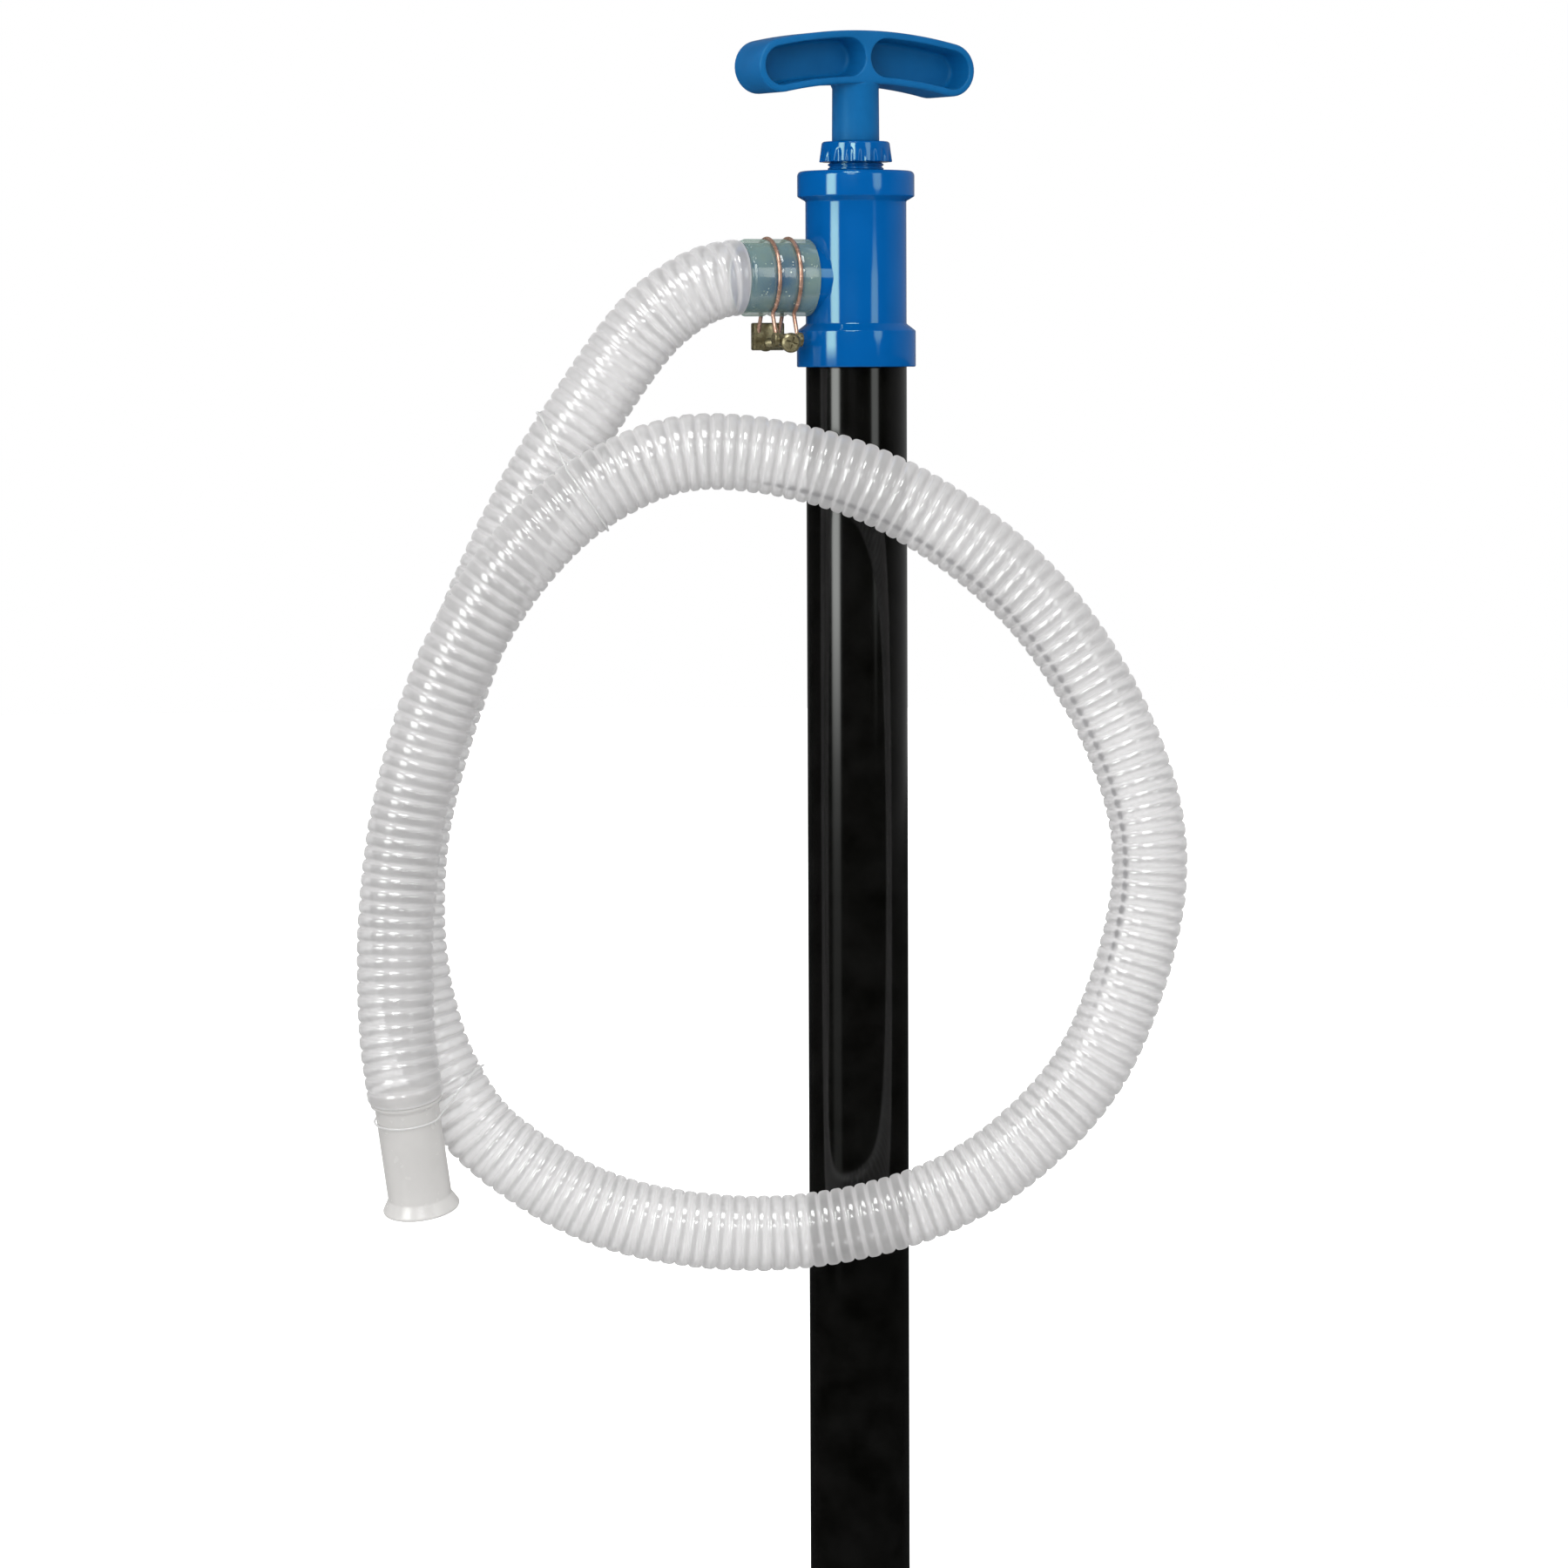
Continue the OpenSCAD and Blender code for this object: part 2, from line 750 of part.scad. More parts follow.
module foot_valve_cage() {
    ring_in = 19;
    bar_w = 6;
    bar_z = seat_top + foot_disc_t + foot_lift + glue;
    bar_t = 3;
    color("#d8dadb") {
        tube(bore_r - 0.2, ring_in, seat_top, bar_z + bar_t);
        for (turn = [0, 90])
            rotate([0, 0, turn])
                translate([-ring_in - 1, -bar_w / 2, bar_z])
                    cube([2 * ring_in + 2, bar_w, bar_t]);
    }
}

module foot_strainer() {
    slots = 16;
    slot_w = 3;
    slot_z = 6;
    slot_top = 22;
    edge = 1;
    inner_r = foot_r - strainer_wall;
    color("#1b1b1a") difference() {
        revolve([
            [0, 0],
            [foot_r - edge, 0],
            [foot_r, edge],
            [foot_r, strainer_top],
            [inner_r, strainer_top],
            [inner_r, strainer_wall],
            [0, strainer_wall]
        ]);
        for (i = [0 : slots / 2 - 1])
            rotate([0, 0, i * 360 / slots])
                translate([-tube_od, -slot_w / 2, slot_z])
                    cube([2 * tube_od, slot_w, slot_top - slot_z]);
    }
}

handle();
piston_rod();
rod_end_plug();
gland_nut();
gland_follower();
rod_seal();
rod_guide_bush();
top_cap();
cap_seal();
pump_head();
barrel_tube();
discharge_hose();
hose_inlet_cuff();
hose_end_cuff();
clamp_wire();
clamp_saddle();
clamp_nut();
clamp_screw();
hose_tie_upper();
hose_tie_lower();
piston_head();
piston_cup();
piston_valve_disc();
piston_valve_stop();
piston_washer();
piston_nut();
foot_valve_seat();
foot_valve_disc();
foot_valve_cage();
foot_seal();
foot_strainer();
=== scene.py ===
"""Looks for the hand-operated bilge pump: meshes, materials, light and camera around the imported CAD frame.

Lengths in the modelling code are millimetres in the pump's own frame: +Z up the barrel, the side
outlet along -X. They are scaled to metres when a mesh is made.
"""

import math

import bmesh
import bpy
import numpy as np
from mathutils import Matrix, Vector


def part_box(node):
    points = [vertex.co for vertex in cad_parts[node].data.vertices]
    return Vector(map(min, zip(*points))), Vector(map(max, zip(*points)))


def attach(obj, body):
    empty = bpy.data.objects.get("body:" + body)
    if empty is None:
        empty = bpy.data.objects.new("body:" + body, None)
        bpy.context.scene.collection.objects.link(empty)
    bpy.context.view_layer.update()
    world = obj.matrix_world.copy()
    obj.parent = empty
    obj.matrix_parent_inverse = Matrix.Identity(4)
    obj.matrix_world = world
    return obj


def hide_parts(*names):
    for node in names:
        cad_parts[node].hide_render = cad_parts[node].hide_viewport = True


MM = 0.001
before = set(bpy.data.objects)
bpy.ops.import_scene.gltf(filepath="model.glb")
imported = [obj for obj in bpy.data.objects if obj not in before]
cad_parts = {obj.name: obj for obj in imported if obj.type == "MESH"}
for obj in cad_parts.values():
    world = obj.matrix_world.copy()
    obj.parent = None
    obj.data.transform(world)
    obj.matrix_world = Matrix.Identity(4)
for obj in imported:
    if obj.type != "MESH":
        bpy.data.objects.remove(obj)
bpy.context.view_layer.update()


def span(node):
    """Lowest and highest corner of a CAD node, in millimetres."""
    low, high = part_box(node)
    return low / MM, high / MM


# ---------------------------------------------------------------- places taken from the frame

HEAD_LOW, HEAD_HIGH = span("pump_head")
CUFF_LOW, CUFF_HIGH = span("hose_inlet_cuff")
HANDLE_LOW, HANDLE_HIGH = span("handle")
NUT_LOW, NUT_HIGH = span("gland_nut")
WIRE_LOW, WIRE_HIGH = span("clamp_wire")
SCREW_LOW, SCREW_HIGH = span("clamp_screw")
SADDLE_LOW, SADDLE_HIGH = span("clamp_saddle")
BLOCK_LOW, BLOCK_HIGH = span("clamp_nut")
TUBE_LOW, TUBE_HIGH = span("barrel_tube")
FOOT_HIGH = span("foot_strainer")[1]
ROD_HIGH = span("piston_rod")[1]

HEAD_Z = HEAD_LOW.z
OUTLET_Z = (CUFF_LOW.z + CUFF_HIGH.z) / 2
TUBE_R = TUBE_HIGH.x
WIRE_R = 1.0
ROD_R = ROD_HIGH.x
CUFF_R = (CUFF_HIGH.z - CUFF_LOW.z) / 2
COIL_TURN = math.radians(-20)
HANDLE_TURN = math.radians(12)


# ---------------------------------------------------------------- mesh helpers

def new_object(name, verts, faces, smooth_angle=35):
    """A mesh object from millimetre vertices, outward normals, smooth except at sharp edges."""
    mesh = bpy.data.meshes.new(name)
    mesh.from_pydata([tuple(c * MM for c in v) for v in verts], [], faces)
    bm = bmesh.new()
    bm.from_mesh(mesh)
    bmesh.ops.remove_doubles(bm, verts=bm.verts, dist=1e-7)
    bmesh.ops.recalc_face_normals(bm, faces=bm.faces)
    bm.to_mesh(mesh)
    bm.free()
    mesh.shade_smooth()
    mesh.set_sharp_from_angle(angle=math.radians(smooth_angle))
    obj = bpy.data.objects.new(name, mesh)
    bpy.context.scene.collection.objects.link(obj)
    return obj


def grid_faces(rows, cols, wrap_rows, wrap_cols):
    """Quads over a grid of vertices numbered row by row."""
    faces = []
    for i in range(rows if wrap_rows else rows - 1):
        a, b = i * cols, ((i + 1) % rows) * cols
        for k in range(cols if wrap_cols else cols - 1):
            m = (k + 1) % cols
            faces.append((a + k, a + m, b + m, b + k))
    return faces


def fillet(points, steps=4):
    """A closed outline of (r, z) or (r, z, radius) corners with each stated corner rounded."""
    out = []
    n = len(points)
    for i, corner in enumerate(points):
        p = np.array(corner[:2], float)
        radius = corner[2] if len(corner) > 2 else 0
        if radius <= 0:
            out.append(tuple(p))
            continue
        before = np.array(points[i - 1][:2], float) - p
        after = np.array(points[(i + 1) % n][:2], float) - p
        room = min(np.linalg.norm(before), np.linalg.norm(after)) * 0.49
        before /= np.linalg.norm(before)
        after /= np.linalg.norm(after)
        half = math.acos(max(-1, min(1, float(before @ after)))) / 2
        reach = min(radius / math.tan(half), room)
        radius = reach * math.tan(half)
        middle = before + after
        centre = p + middle / np.linalg.norm(middle) * radius / math.sin(half)
        start = p + before * reach - centre
        end = p + after * reach - centre
        a0 = math.atan2(start[1], start[0])
        turn = (math.atan2(end[1], end[0]) - a0 + math.pi) % (2 * math.pi) - math.pi
        for k in range(steps + 1):
            a = a0 + turn * k / steps
            out.append((centre[0] + radius * math.cos(a), centre[1] + radius * math.sin(a)))
    return out


def lathe_mesh(profile, segments=160):
    """Vertices and faces of a closed (r, z) outline turned about +Z."""
    verts = []
    for r, z in profile:
        for k in range(segments):
            a = 2 * math.pi * k / segments
            verts.append((r * math.cos(a), r * math.sin(a), z))
    return verts, grid_faces(len(profile), segments, True, True)


def lathe(name, profile, segments=160, place=None, smooth_angle=35):
    """A turned piece; place is a 4x4 matrix from the lathe's axes to the pump's, in millimetres."""
    verts, faces = lathe_mesh(fillet(profile), segments)
    if place is not None:
        verts = [tuple(place @ Vector(v)) for v in verts]
    return new_object(name, verts, faces, smooth_angle)


def axes_to(origin, z_axis, x_hint=(0, 0, 1)):
    """Matrix that carries the lathe's +Z to z_axis at origin."""
    z = Vector(z_axis).normalized()
    x = Vector(x_hint) - Vector(x_hint).dot(z) * z
    x.normalize()
    y = z.cross(x)
    m = Matrix((x, y, z)).transposed().to_4x4()
    m.translation = Vector(origin)
    return m


def boolean(target, tool, operation):
    """Applies a boolean of tool to target and deletes the tool."""
    modifier = target.modifiers.new("cut", "BOOLEAN")
    modifier.operation = operation
    modifier.object = tool
    modifier.solver = "EXACT"
    bpy.context.view_layer.update()
    graph = bpy.context.evaluated_depsgraph_get()
    mesh = bpy.data.meshes.new_from_object(target.evaluated_get(graph))
    target.modifiers.clear()
    target.data = mesh
    bpy.data.objects.remove(tool)
    return target


def smooth_again(obj, smooth_angle=35):
    obj.data.shade_smooth()
    obj.data.set_sharp_from_angle(angle=math.radians(smooth_angle))
    return obj


def unit(v):
    return v / np.linalg.norm(v, axis=-1, keepdims=True)


def strand(name, path, radius, sides=12, closed=False):
    """A round strand along a path of points, with rounded ends if it's open."""
    path = np.array(path, float)
    if closed:
        direction = unit(np.roll(path, -1, 0) - np.roll(path, 1, 0))
    else:
        direction = unit(np.gradient(path, axis=0))
    normal = np.cross(direction[0], [0.3, 0.5, 0.81])
    radii = np.full(len(path), radius)
    if not closed:
        ends = [(-0.95, 0.3), (-0.7, 0.72), (0, 1)]
        head = [path[0] + direction[0] * radius * a for a, _ in ends[:2]]
        tail = [path[-1] - direction[-1] * radius * a for a, _ in reversed(ends[:2])]
        path = np.vstack([head, path, tail])
        direction = np.vstack([direction[:1], direction[:1], direction, direction[-1:], direction[-1:]])
        caps = [radius * b for _, b in ends[:2]]
        radii = np.concatenate([caps, radii, caps[::-1]])
    verts = []
    for p, d, r in zip(path, direction, radii):
        normal = normal - (normal @ d) * d
        normal /= np.linalg.norm(normal)
        across = np.cross(d, normal)
        for k in range(sides):
            a = 2 * math.pi * k / sides
            verts.append(p + r * (math.cos(a) * normal + math.sin(a) * across))
    faces = grid_faces(len(path), sides, closed, True)
    if not closed:
        faces.append(tuple(range(sides)))
        faces.append(tuple((len(path) - 1) * sides + k for k in range(sides)))
    return new_object(name, verts, faces, 60)


# ---------------------------------------------------------------- material helpers

def srgb(r, g, b):
    """Linear colour from 0-255 display values."""
    def one(c):
        c /= 255
        return c / 12.92 if c <= 0.04045 else ((c + 0.055) / 1.055) ** 2.4
    return (one(r), one(g), one(b), 1)


class Nodes:
    """Short calls for building one material's node tree."""

    def __init__(self, name):
        self.material = bpy.data.materials.new(name)
        self.material.use_nodes = True
        self.tree = self.material.node_tree
        self.tree.nodes.clear()
        self.out = self.tree.nodes.new("ShaderNodeOutputMaterial")
        self.coord = self.tree.nodes.new("ShaderNodeTexCoord").outputs["Object"]

    def add(self, kind, inputs=None, **settings):
        node = self.tree.nodes.new(kind)
        for key, value in settings.items():
            setattr(node, key, value)
        for key, value in (inputs or {}).items():
            if isinstance(value, bpy.types.NodeSocket):
                self.tree.links.new(value, node.inputs[key])
            else:
                node.inputs[key].default_value = value
        return node

    def noise(self, scale, detail=3, stretch=(1, 1, 1), roughness=0.5):
        """Noise over the object's own metres; stretch scales each axis."""
        place = self.add("ShaderNodeMapping", {"Vector": self.coord, "Scale": stretch})
        inputs = {"Vector": place.outputs[0], "Scale": scale, "Detail": detail, "Roughness": roughness}
        return self.add("ShaderNodeTexNoise", inputs).outputs["Fac"]

    def remap(self, value, low, high, to_low=0.0, to_high=1.0):
        inputs = {"Value": value, "From Min": low, "From Max": high, "To Min": to_low, "To Max": to_high}
        return self.add("ShaderNodeMapRange", inputs).outputs["Result"]

    def mix(self, factor, a, b):
        node = self.add("ShaderNodeMix", data_type="RGBA")
        for socket, value in ((node.inputs[0], factor), (node.inputs[6], a), (node.inputs[7], b)):
            if isinstance(value, bpy.types.NodeSocket):
                self.tree.links.new(value, socket)
            else:
                socket.default_value = value
        return node.outputs[2]

    def math(self, operation, a, b=0.0):
        return self.add("ShaderNodeMath", {0: a, 1: b}, operation=operation).outputs[0]

    def bump(self, height, strength, distance, normal=None):
        inputs = {"Height": height, "Strength": strength, "Distance": distance}
        if normal is not None:
            inputs["Normal"] = normal
        return self.add("ShaderNodeBump", inputs).outputs["Normal"]

    def edge_wear(self, radius, spread=0.25):
        """1 on convex edges and 0 elsewhere, broken up by noise."""
        bevel = self.add("ShaderNodeBevel", {"Radius": radius}, samples=4).outputs[0]
        normal = self.add("ShaderNodeNewGeometry").outputs["Normal"]
        same = self.add(
            "ShaderNodeVectorMath", {0: bevel, 1: normal}, operation="DOT_PRODUCT",
        ).outputs["Value"]
        edge = self.remap(same, 1.0, 1.0 - spread)
        patchy = self.remap(self.noise(420), 0.42, 0.62)
        return self.math("MULTIPLY", edge, patchy)

    def finish(self, shader):
        self.tree.links.new(shader, self.out.inputs["Surface"])
        return self.material


def plastic(name, colour, roughness, grain=0.0, grain_scale=1600, variation=0.06, wear=0.12,
            specular=0.5, streak=None, waviness=0.0, gloss_tint=(1, 1, 1)):
    """Moulded or extruded plastic: mottled colour, uneven gloss, fine grain, paler worn edges."""
    n = Nodes(name)
    colour = tuple(colour)
    darker = tuple(c * (1 - variation) for c in colour[:3]) + (1,)
    paler = tuple(min(1, c * (1 + variation) + variation * 0.02) for c in colour[:3]) + (1,)
    mottled = n.mix(n.remap(n.noise(60, 4), 0.3, 0.7), darker, paler)
    worn = tuple(min(1, c * 0.6 + 0.25) for c in colour[:3]) + (1,)
    edge = n.edge_wear(0.0008)
    base = n.mix(n.math("MULTIPLY", edge, wear), mottled, worn)
    smear = n.noise(35, 3, streak or (1, 1, 1))
    rough = n.math("ADD", n.remap(smear, 0.3, 0.7, roughness * 0.85, roughness * 1.2),
                   n.math("MULTIPLY", edge, 0.15))
    normal = None
    if grain:
        normal = n.bump(n.noise(grain_scale, 2), grain, 0.0002)
    if waviness:
        normal = n.bump(n.noise(45, 1, streak or (1, 1, 1)), waviness, 0.002, normal)
    inputs = {
        "Base Color": base, "Roughness": rough, "Specular IOR Level": specular,
        "Specular Tint": tuple(gloss_tint) + (1,),
    }
    if normal is not None:
        inputs["Normal"] = normal
    return n.finish(n.add("ShaderNodeBsdfPrincipled", inputs).outputs[0])


def plated(name, colour, tint, roughness=0.28, metallic=0.6, pitting=0.12):
    """Zinc-plated steel with uneven passivation colour and dull spots."""
    n = Nodes(name)
    patches = n.remap(n.noise(260, 4), 0.35, 0.65)
    base = n.mix(patches, colour, tint)
    spots = n.remap(n.noise(900, 2), 0.60, 0.74)
    base = n.mix(n.math("MULTIPLY", spots, 0.5), base, tuple(c * 0.3 for c in colour[:3]) + (1,))
    pale = tuple(min(1, c * 0.7 + 0.25) for c in colour[:3]) + (1,)
    base = n.mix(n.math("MULTIPLY", n.edge_wear(0.0005), 0.5), base, pale)
    rough = n.remap(n.noise(500, 3), 0.3, 0.7, roughness * 0.7, roughness * 1.6)
    normal = n.bump(n.noise(1500, 2), pitting, 0.0002)
    inputs = {"Base Color": base, "Metallic": metallic, "Roughness": rough, "Normal": normal}
    return n.finish(n.add("ShaderNodeBsdfPrincipled", inputs).outputs[0])


def rubber(name):
    n = Nodes(name)
    base = n.mix(n.remap(n.noise(300, 4), 0.3, 0.7), srgb(30, 31, 32), srgb(44, 44, 45))
    normal = n.bump(n.noise(2500, 3), 0.25, 0.0002)
    inputs = {"Base Color": base, "Roughness": 0.62, "Normal": normal}
    return n.finish(n.add("ShaderNodeBsdfPrincipled", inputs).outputs[0])


def milky_film(n, body, glow, back_share, share, gloss_roughness, gloss_share=None, ripple=0.0001, soft=None,
               index=1.52, gloss_limit=0.16):
    """Film shader: light scattered back, light let through diffusely, a clear share, and a glossy skin."""
    cloud = n.remap(n.noise(70, 4), 0.3, 0.7)
    if not isinstance(body, bpy.types.NodeSocket):
        body = n.mix(cloud, tuple(c * 0.95 for c in body[:3]) + (1,), body)
    through = n.mix(cloud, tuple(c * 0.96 for c in glow[:3]) + (1,), glow)
    normal = n.bump(n.noise(420, 3), 0.12, ripple)
    diffuse = n.add("ShaderNodeBsdfDiffuse", {"Color": body, "Normal": soft or normal}).outputs[0]
    passing = n.add("ShaderNodeBsdfTranslucent", {"Color": through, "Normal": soft or normal}).outputs[0]
    milk = n.add("ShaderNodeMixShader", {0: 1 - back_share, 1: diffuse, 2: passing}).outputs[0]
    see = n.add("ShaderNodeBsdfTransparent", {"Color": (0.98, 0.98, 0.98, 1)}).outputs[0]
    film = n.add("ShaderNodeMixShader", {0: share, 1: milk, 2: see}).outputs[0]
    rough = n.remap(n.noise(180, 3), 0.3, 0.7, gloss_roughness * 0.8, gloss_roughness * 1.3)
    gloss = n.add(
        "ShaderNodeBsdfGlossy", {"Color": (1, 1, 1, 1), "Roughness": rough, "Normal": normal},
    ).outputs[0]
    fresnel = n.add("ShaderNodeFresnel", {"IOR": index, "Normal": normal}).outputs[0]
    fresnel = n.math("MINIMUM", fresnel, gloss_limit)
    if gloss_share is not None:
        fresnel = n.math("MULTIPLY", fresnel, gloss_share)
    return n.add("ShaderNodeMixShader", {0: fresnel, 1: film, 2: gloss}).outputs[0]


def translucent(name, body, glow, clear, clear_edge, gloss_roughness, back_share=0.6, specks=0.0):
    """Smooth milky plastic, clearer where it's seen square on."""
    n = Nodes(name)
    facing = n.add("ShaderNodeLayerWeight", {"Blend": 0.5}).outputs["Facing"]
    share = n.remap(facing, 0.0, 0.9, clear, clear_edge)
    tone = body
    if specks:
        cloud = n.remap(n.noise(60, 2), 0.3, 0.7)
        tone = n.mix(cloud, tuple(c * 0.85 for c in body[:3]) + (1,), body)
        share = n.math("MULTIPLY", share, n.remap(cloud, 0.0, 1.0, 1.2, 0.8))
        dots = n.add("ShaderNodeTexVoronoi", {"Vector": n.coord, "Scale": 420.0}).outputs["Distance"]
        rare = n.remap(n.noise(150, 1), 0.56, 0.62)
        dot = n.math("MULTIPLY", n.remap(dots, 0.20, 0.10), rare)
        tone = n.mix(n.math("MULTIPLY", dot, specks), tone, (0.9, 0.95, 0.95, 1))
        share = n.math("MULTIPLY", share, n.math("SUBTRACT", 1.0, n.math("MULTIPLY", dot, specks)))
    return n.finish(milky_film(n, tone, glow, back_share, share, gloss_roughness))


def hose_film(name):
    """Corrugated hose wall: clear rib crests, milky grooves and flanks, and painted dark dashes inside the
    bend, a painted reflection of the black barrel.
    """
    n = Nodes(name)
    rib = n.add("ShaderNodeAttribute", attribute_name="rib").outputs["Fac"]
    skin = n.add("ShaderNodeAttribute", attribute_name="inner_skin").outputs["Fac"]
    painted_reflection = n.add("ShaderNodeAttribute", attribute_name="painted_reflection").outputs["Fac"]
    radial = n.add("ShaderNodeAttribute", attribute_name="radial").outputs["Vector"]
    facing = n.add("ShaderNodeLayerWeight", {"Blend": 0.5}).outputs["Facing"]
    patchy = n.remap(n.noise(28, 3), 0.35, 0.65, 0.85, 1.12)
    crest = n.math("MULTIPLY", n.remap(rib, 0.70, 0.97, HOSE_GROOVE_CLEAR, HOSE_CREST_CLEAR), patchy)
    share = n.math("MULTIPLY", crest, n.remap(facing, 0.3, 0.95, 1.0, 0.45))
    share = n.math("MAXIMUM", share, n.math("MULTIPLY", skin, 0.94))
    # painted reflection: near-black, nearly opaque dashes inside the bend stand for the black barrel
    # reflected in the clear wall
    strong_painted_reflection = n.remap(painted_reflection, 0.15, 0.6, 0.0, 0.85)
    share = n.math("MULTIPLY", share, n.math("SUBTRACT", 1.0, strong_painted_reflection))
    body = n.mix(strong_painted_reflection, HOSE_BODY, (0.12, 0.12, 0.13, 1))
    outer = n.math("SUBTRACT", 1.0, skin)
    return n.finish(milky_film(n, body, HOSE_GLOW, 0.6, share, 0.15, outer, 0.0003, radial,
                               1.75, 0.13))


# ---------------------------------------------------------------- materials

HEAD_BLUE = plastic("head_blue", srgb(0, 85, 155), 0.075, variation=0.04, specular=0.74, waviness=0.04,
                    gloss_tint=(0.66, 1.0, 0.74))
HANDLE_BLUE = plastic("handle_blue", srgb(8, 92, 150), 0.36, grain=0.22, grain_scale=1300,
                      variation=0.08, wear=0.2, specular=0.17, gloss_tint=(0.5, 0.95, 0.8))
BARREL_BLACK = plastic("barrel_black", srgb(4, 4, 3), 0.13, variation=0.15, wear=0.05, specular=0.42,
                       streak=(1, 1, 0.06), waviness=0.05)
FOOT_BLACK = plastic("foot_black", srgb(26, 26, 26), 0.35, grain=0.2, variation=0.1)
ROD_GREY = plastic("rod_grey", srgb(196, 200, 203), 0.25, variation=0.04, streak=(1, 1, 0.05), waviness=0.04)
ACETAL = plastic("acetal_white", srgb(228, 228, 222), 0.4, grain=0.15, variation=0.03)
RUBBER = rubber("seal_rubber")
STEEL = plated("stainless", srgb(188, 190, 192), srgb(168, 170, 173), 0.3, 0.9)
WIRE_ZINC = plated("wire_zinc", srgb(214, 174, 154), srgb(186, 142, 120), 0.2, 0.6, 0.02)
YELLOW_ZINC = plated("yellow_zinc", srgb(158, 150, 116), srgb(104, 95, 66), 0.26, 0.6)
HOSE_CREST_CLEAR = 0.54
HOSE_GROOVE_CLEAR = 0.20
HOSE_BODY = (0.93, 0.92, 0.92, 1)
HOSE_GLOW = (0.96, 0.95, 0.95, 1)
HOSE_MILK = hose_film("hose_milk")
CUFF_MILK = translucent("cuff_milk", (0.80, 0.79, 0.78, 1), (0.82, 0.81, 0.79, 1), 0.12, 0.04, 0.22)
CUFF_CLEAR = translucent(
    "cuff_clear", (0.36, 0.50, 0.42, 1), (0.46, 0.62, 0.60, 1), 0.74, 0.40, 0.10, 0.8, specks=0.9,
)
TIE_CLEAR = translucent("tie_clear", (0.85, 0.85, 0.85, 1), (0.9, 0.9, 0.9, 1), 0.35, 0.1, 0.12)


def dress(obj, material):
    """Gives every face of an object one material."""
    obj.data.materials.clear()
    obj.data.materials.append(material)
    return obj


def place_piece(obj, body, material, slot, *nodes):
    """Material, body, material slot and the CAD nodes that a new piece stands for; slot is not used."""
    dress(obj, material)
    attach(obj, body)
    if nodes:
        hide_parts(*nodes)
    return obj


# ---------------------------------------------------------------- pump head and cap

def build_pump_head():
    """Tee body with its lower collar, top rim and side spigot, bored through."""
    top = HEAD_HIGH.z
    collar_r, rim_r, body_r = 29.5, 29.0, 25.0
    bore_r, socket_r, cap_r = 21.0, 24.55, 26.0
    spigot_r, spigot_bore, spigot_end = 17.0, 13.5, -HEAD_LOW.x
    outer = [
        (0, HEAD_Z), (collar_r, HEAD_Z, 0.7), (collar_r, HEAD_Z + 17.8, 0.9), (body_r, HEAD_Z + 21.3, 1.2),
        (body_r, top - 14.8, 1.0), (rim_r, top - 12.5, 0.8), (rim_r, top, 2.3), (0, top),
    ]
    body = lathe("pump_head_body", outer, 192)
    spigot = lathe("spigot_solid", [(0, 0), (spigot_r, 0), (spigot_r, spigot_end, 0.8), (0, spigot_end)], 128,
                   axes_to((0, 0, OUTLET_Z), (-1, 0, 0)))
    boolean(body, spigot, "UNION")
    hollow = [
        (0, HEAD_Z - 1), (socket_r + 0.5, HEAD_Z - 1), (socket_r + 0.5, HEAD_Z), (socket_r, HEAD_Z + 0.6),
        (socket_r, HEAD_Z + 18.05), (bore_r, HEAD_Z + 18.05), (bore_r, top - 8.5), (cap_r, top - 8.5),
        (cap_r, top - 0.4), (cap_r + 0.3, top + 1), (0, top + 1),
    ]
    boolean(body, lathe("hollow_solid", hollow, 192), "DIFFERENCE")
    duct = lathe("duct_solid",
                 [(0, 0), (spigot_bore, 0), (spigot_bore, spigot_end + 1), (0, spigot_end + 1)], 96,
                 axes_to((0, 0, OUTLET_Z), (-1, 0, 0)))
    boolean(body, duct, "DIFFERENCE")
    smooth_again(body, 28)
    body.name = "pump_head_shell"
    return place_piece(body, "pump", HEAD_BLUE, "gloss_blue", "pump_head")


def build_top_cap():
    """Cap pressed into the head's rim, with the neck's thread rings."""
    top = HEAD_HIGH.z
    seal_pocket, neck_r, root_r, cap_r = 10.4, 13.85, 12.95, 25.9
    profile = [
        (seal_pocket, top - 20.5), (20.9, top - 20.5, 0.5), (20.9, top - 8.5), (cap_r, top - 8.5, 0.3),
        (cap_r, top, 0.35), (root_r, top, 0.4),
    ]
    for i in range(4):
        base = top + 0.3 + 2 * i
        profile += [
            (root_r, base, 0.1), (neck_r, base + 0.6, 0.25), (neck_r, base + 1.1, 0.25),
            (root_r, base + 1.7, 0.1),
        ]
    profile += [(root_r, top + 9, 0.3), (seal_pocket, top + 9, 0.3)]
    cap = lathe("top_cap_shell", profile, 160, smooth_angle=40)
    return place_piece(cap, "pump", HEAD_BLUE, "gloss_blue", "top_cap")


# ---------------------------------------------------------------- gland nut

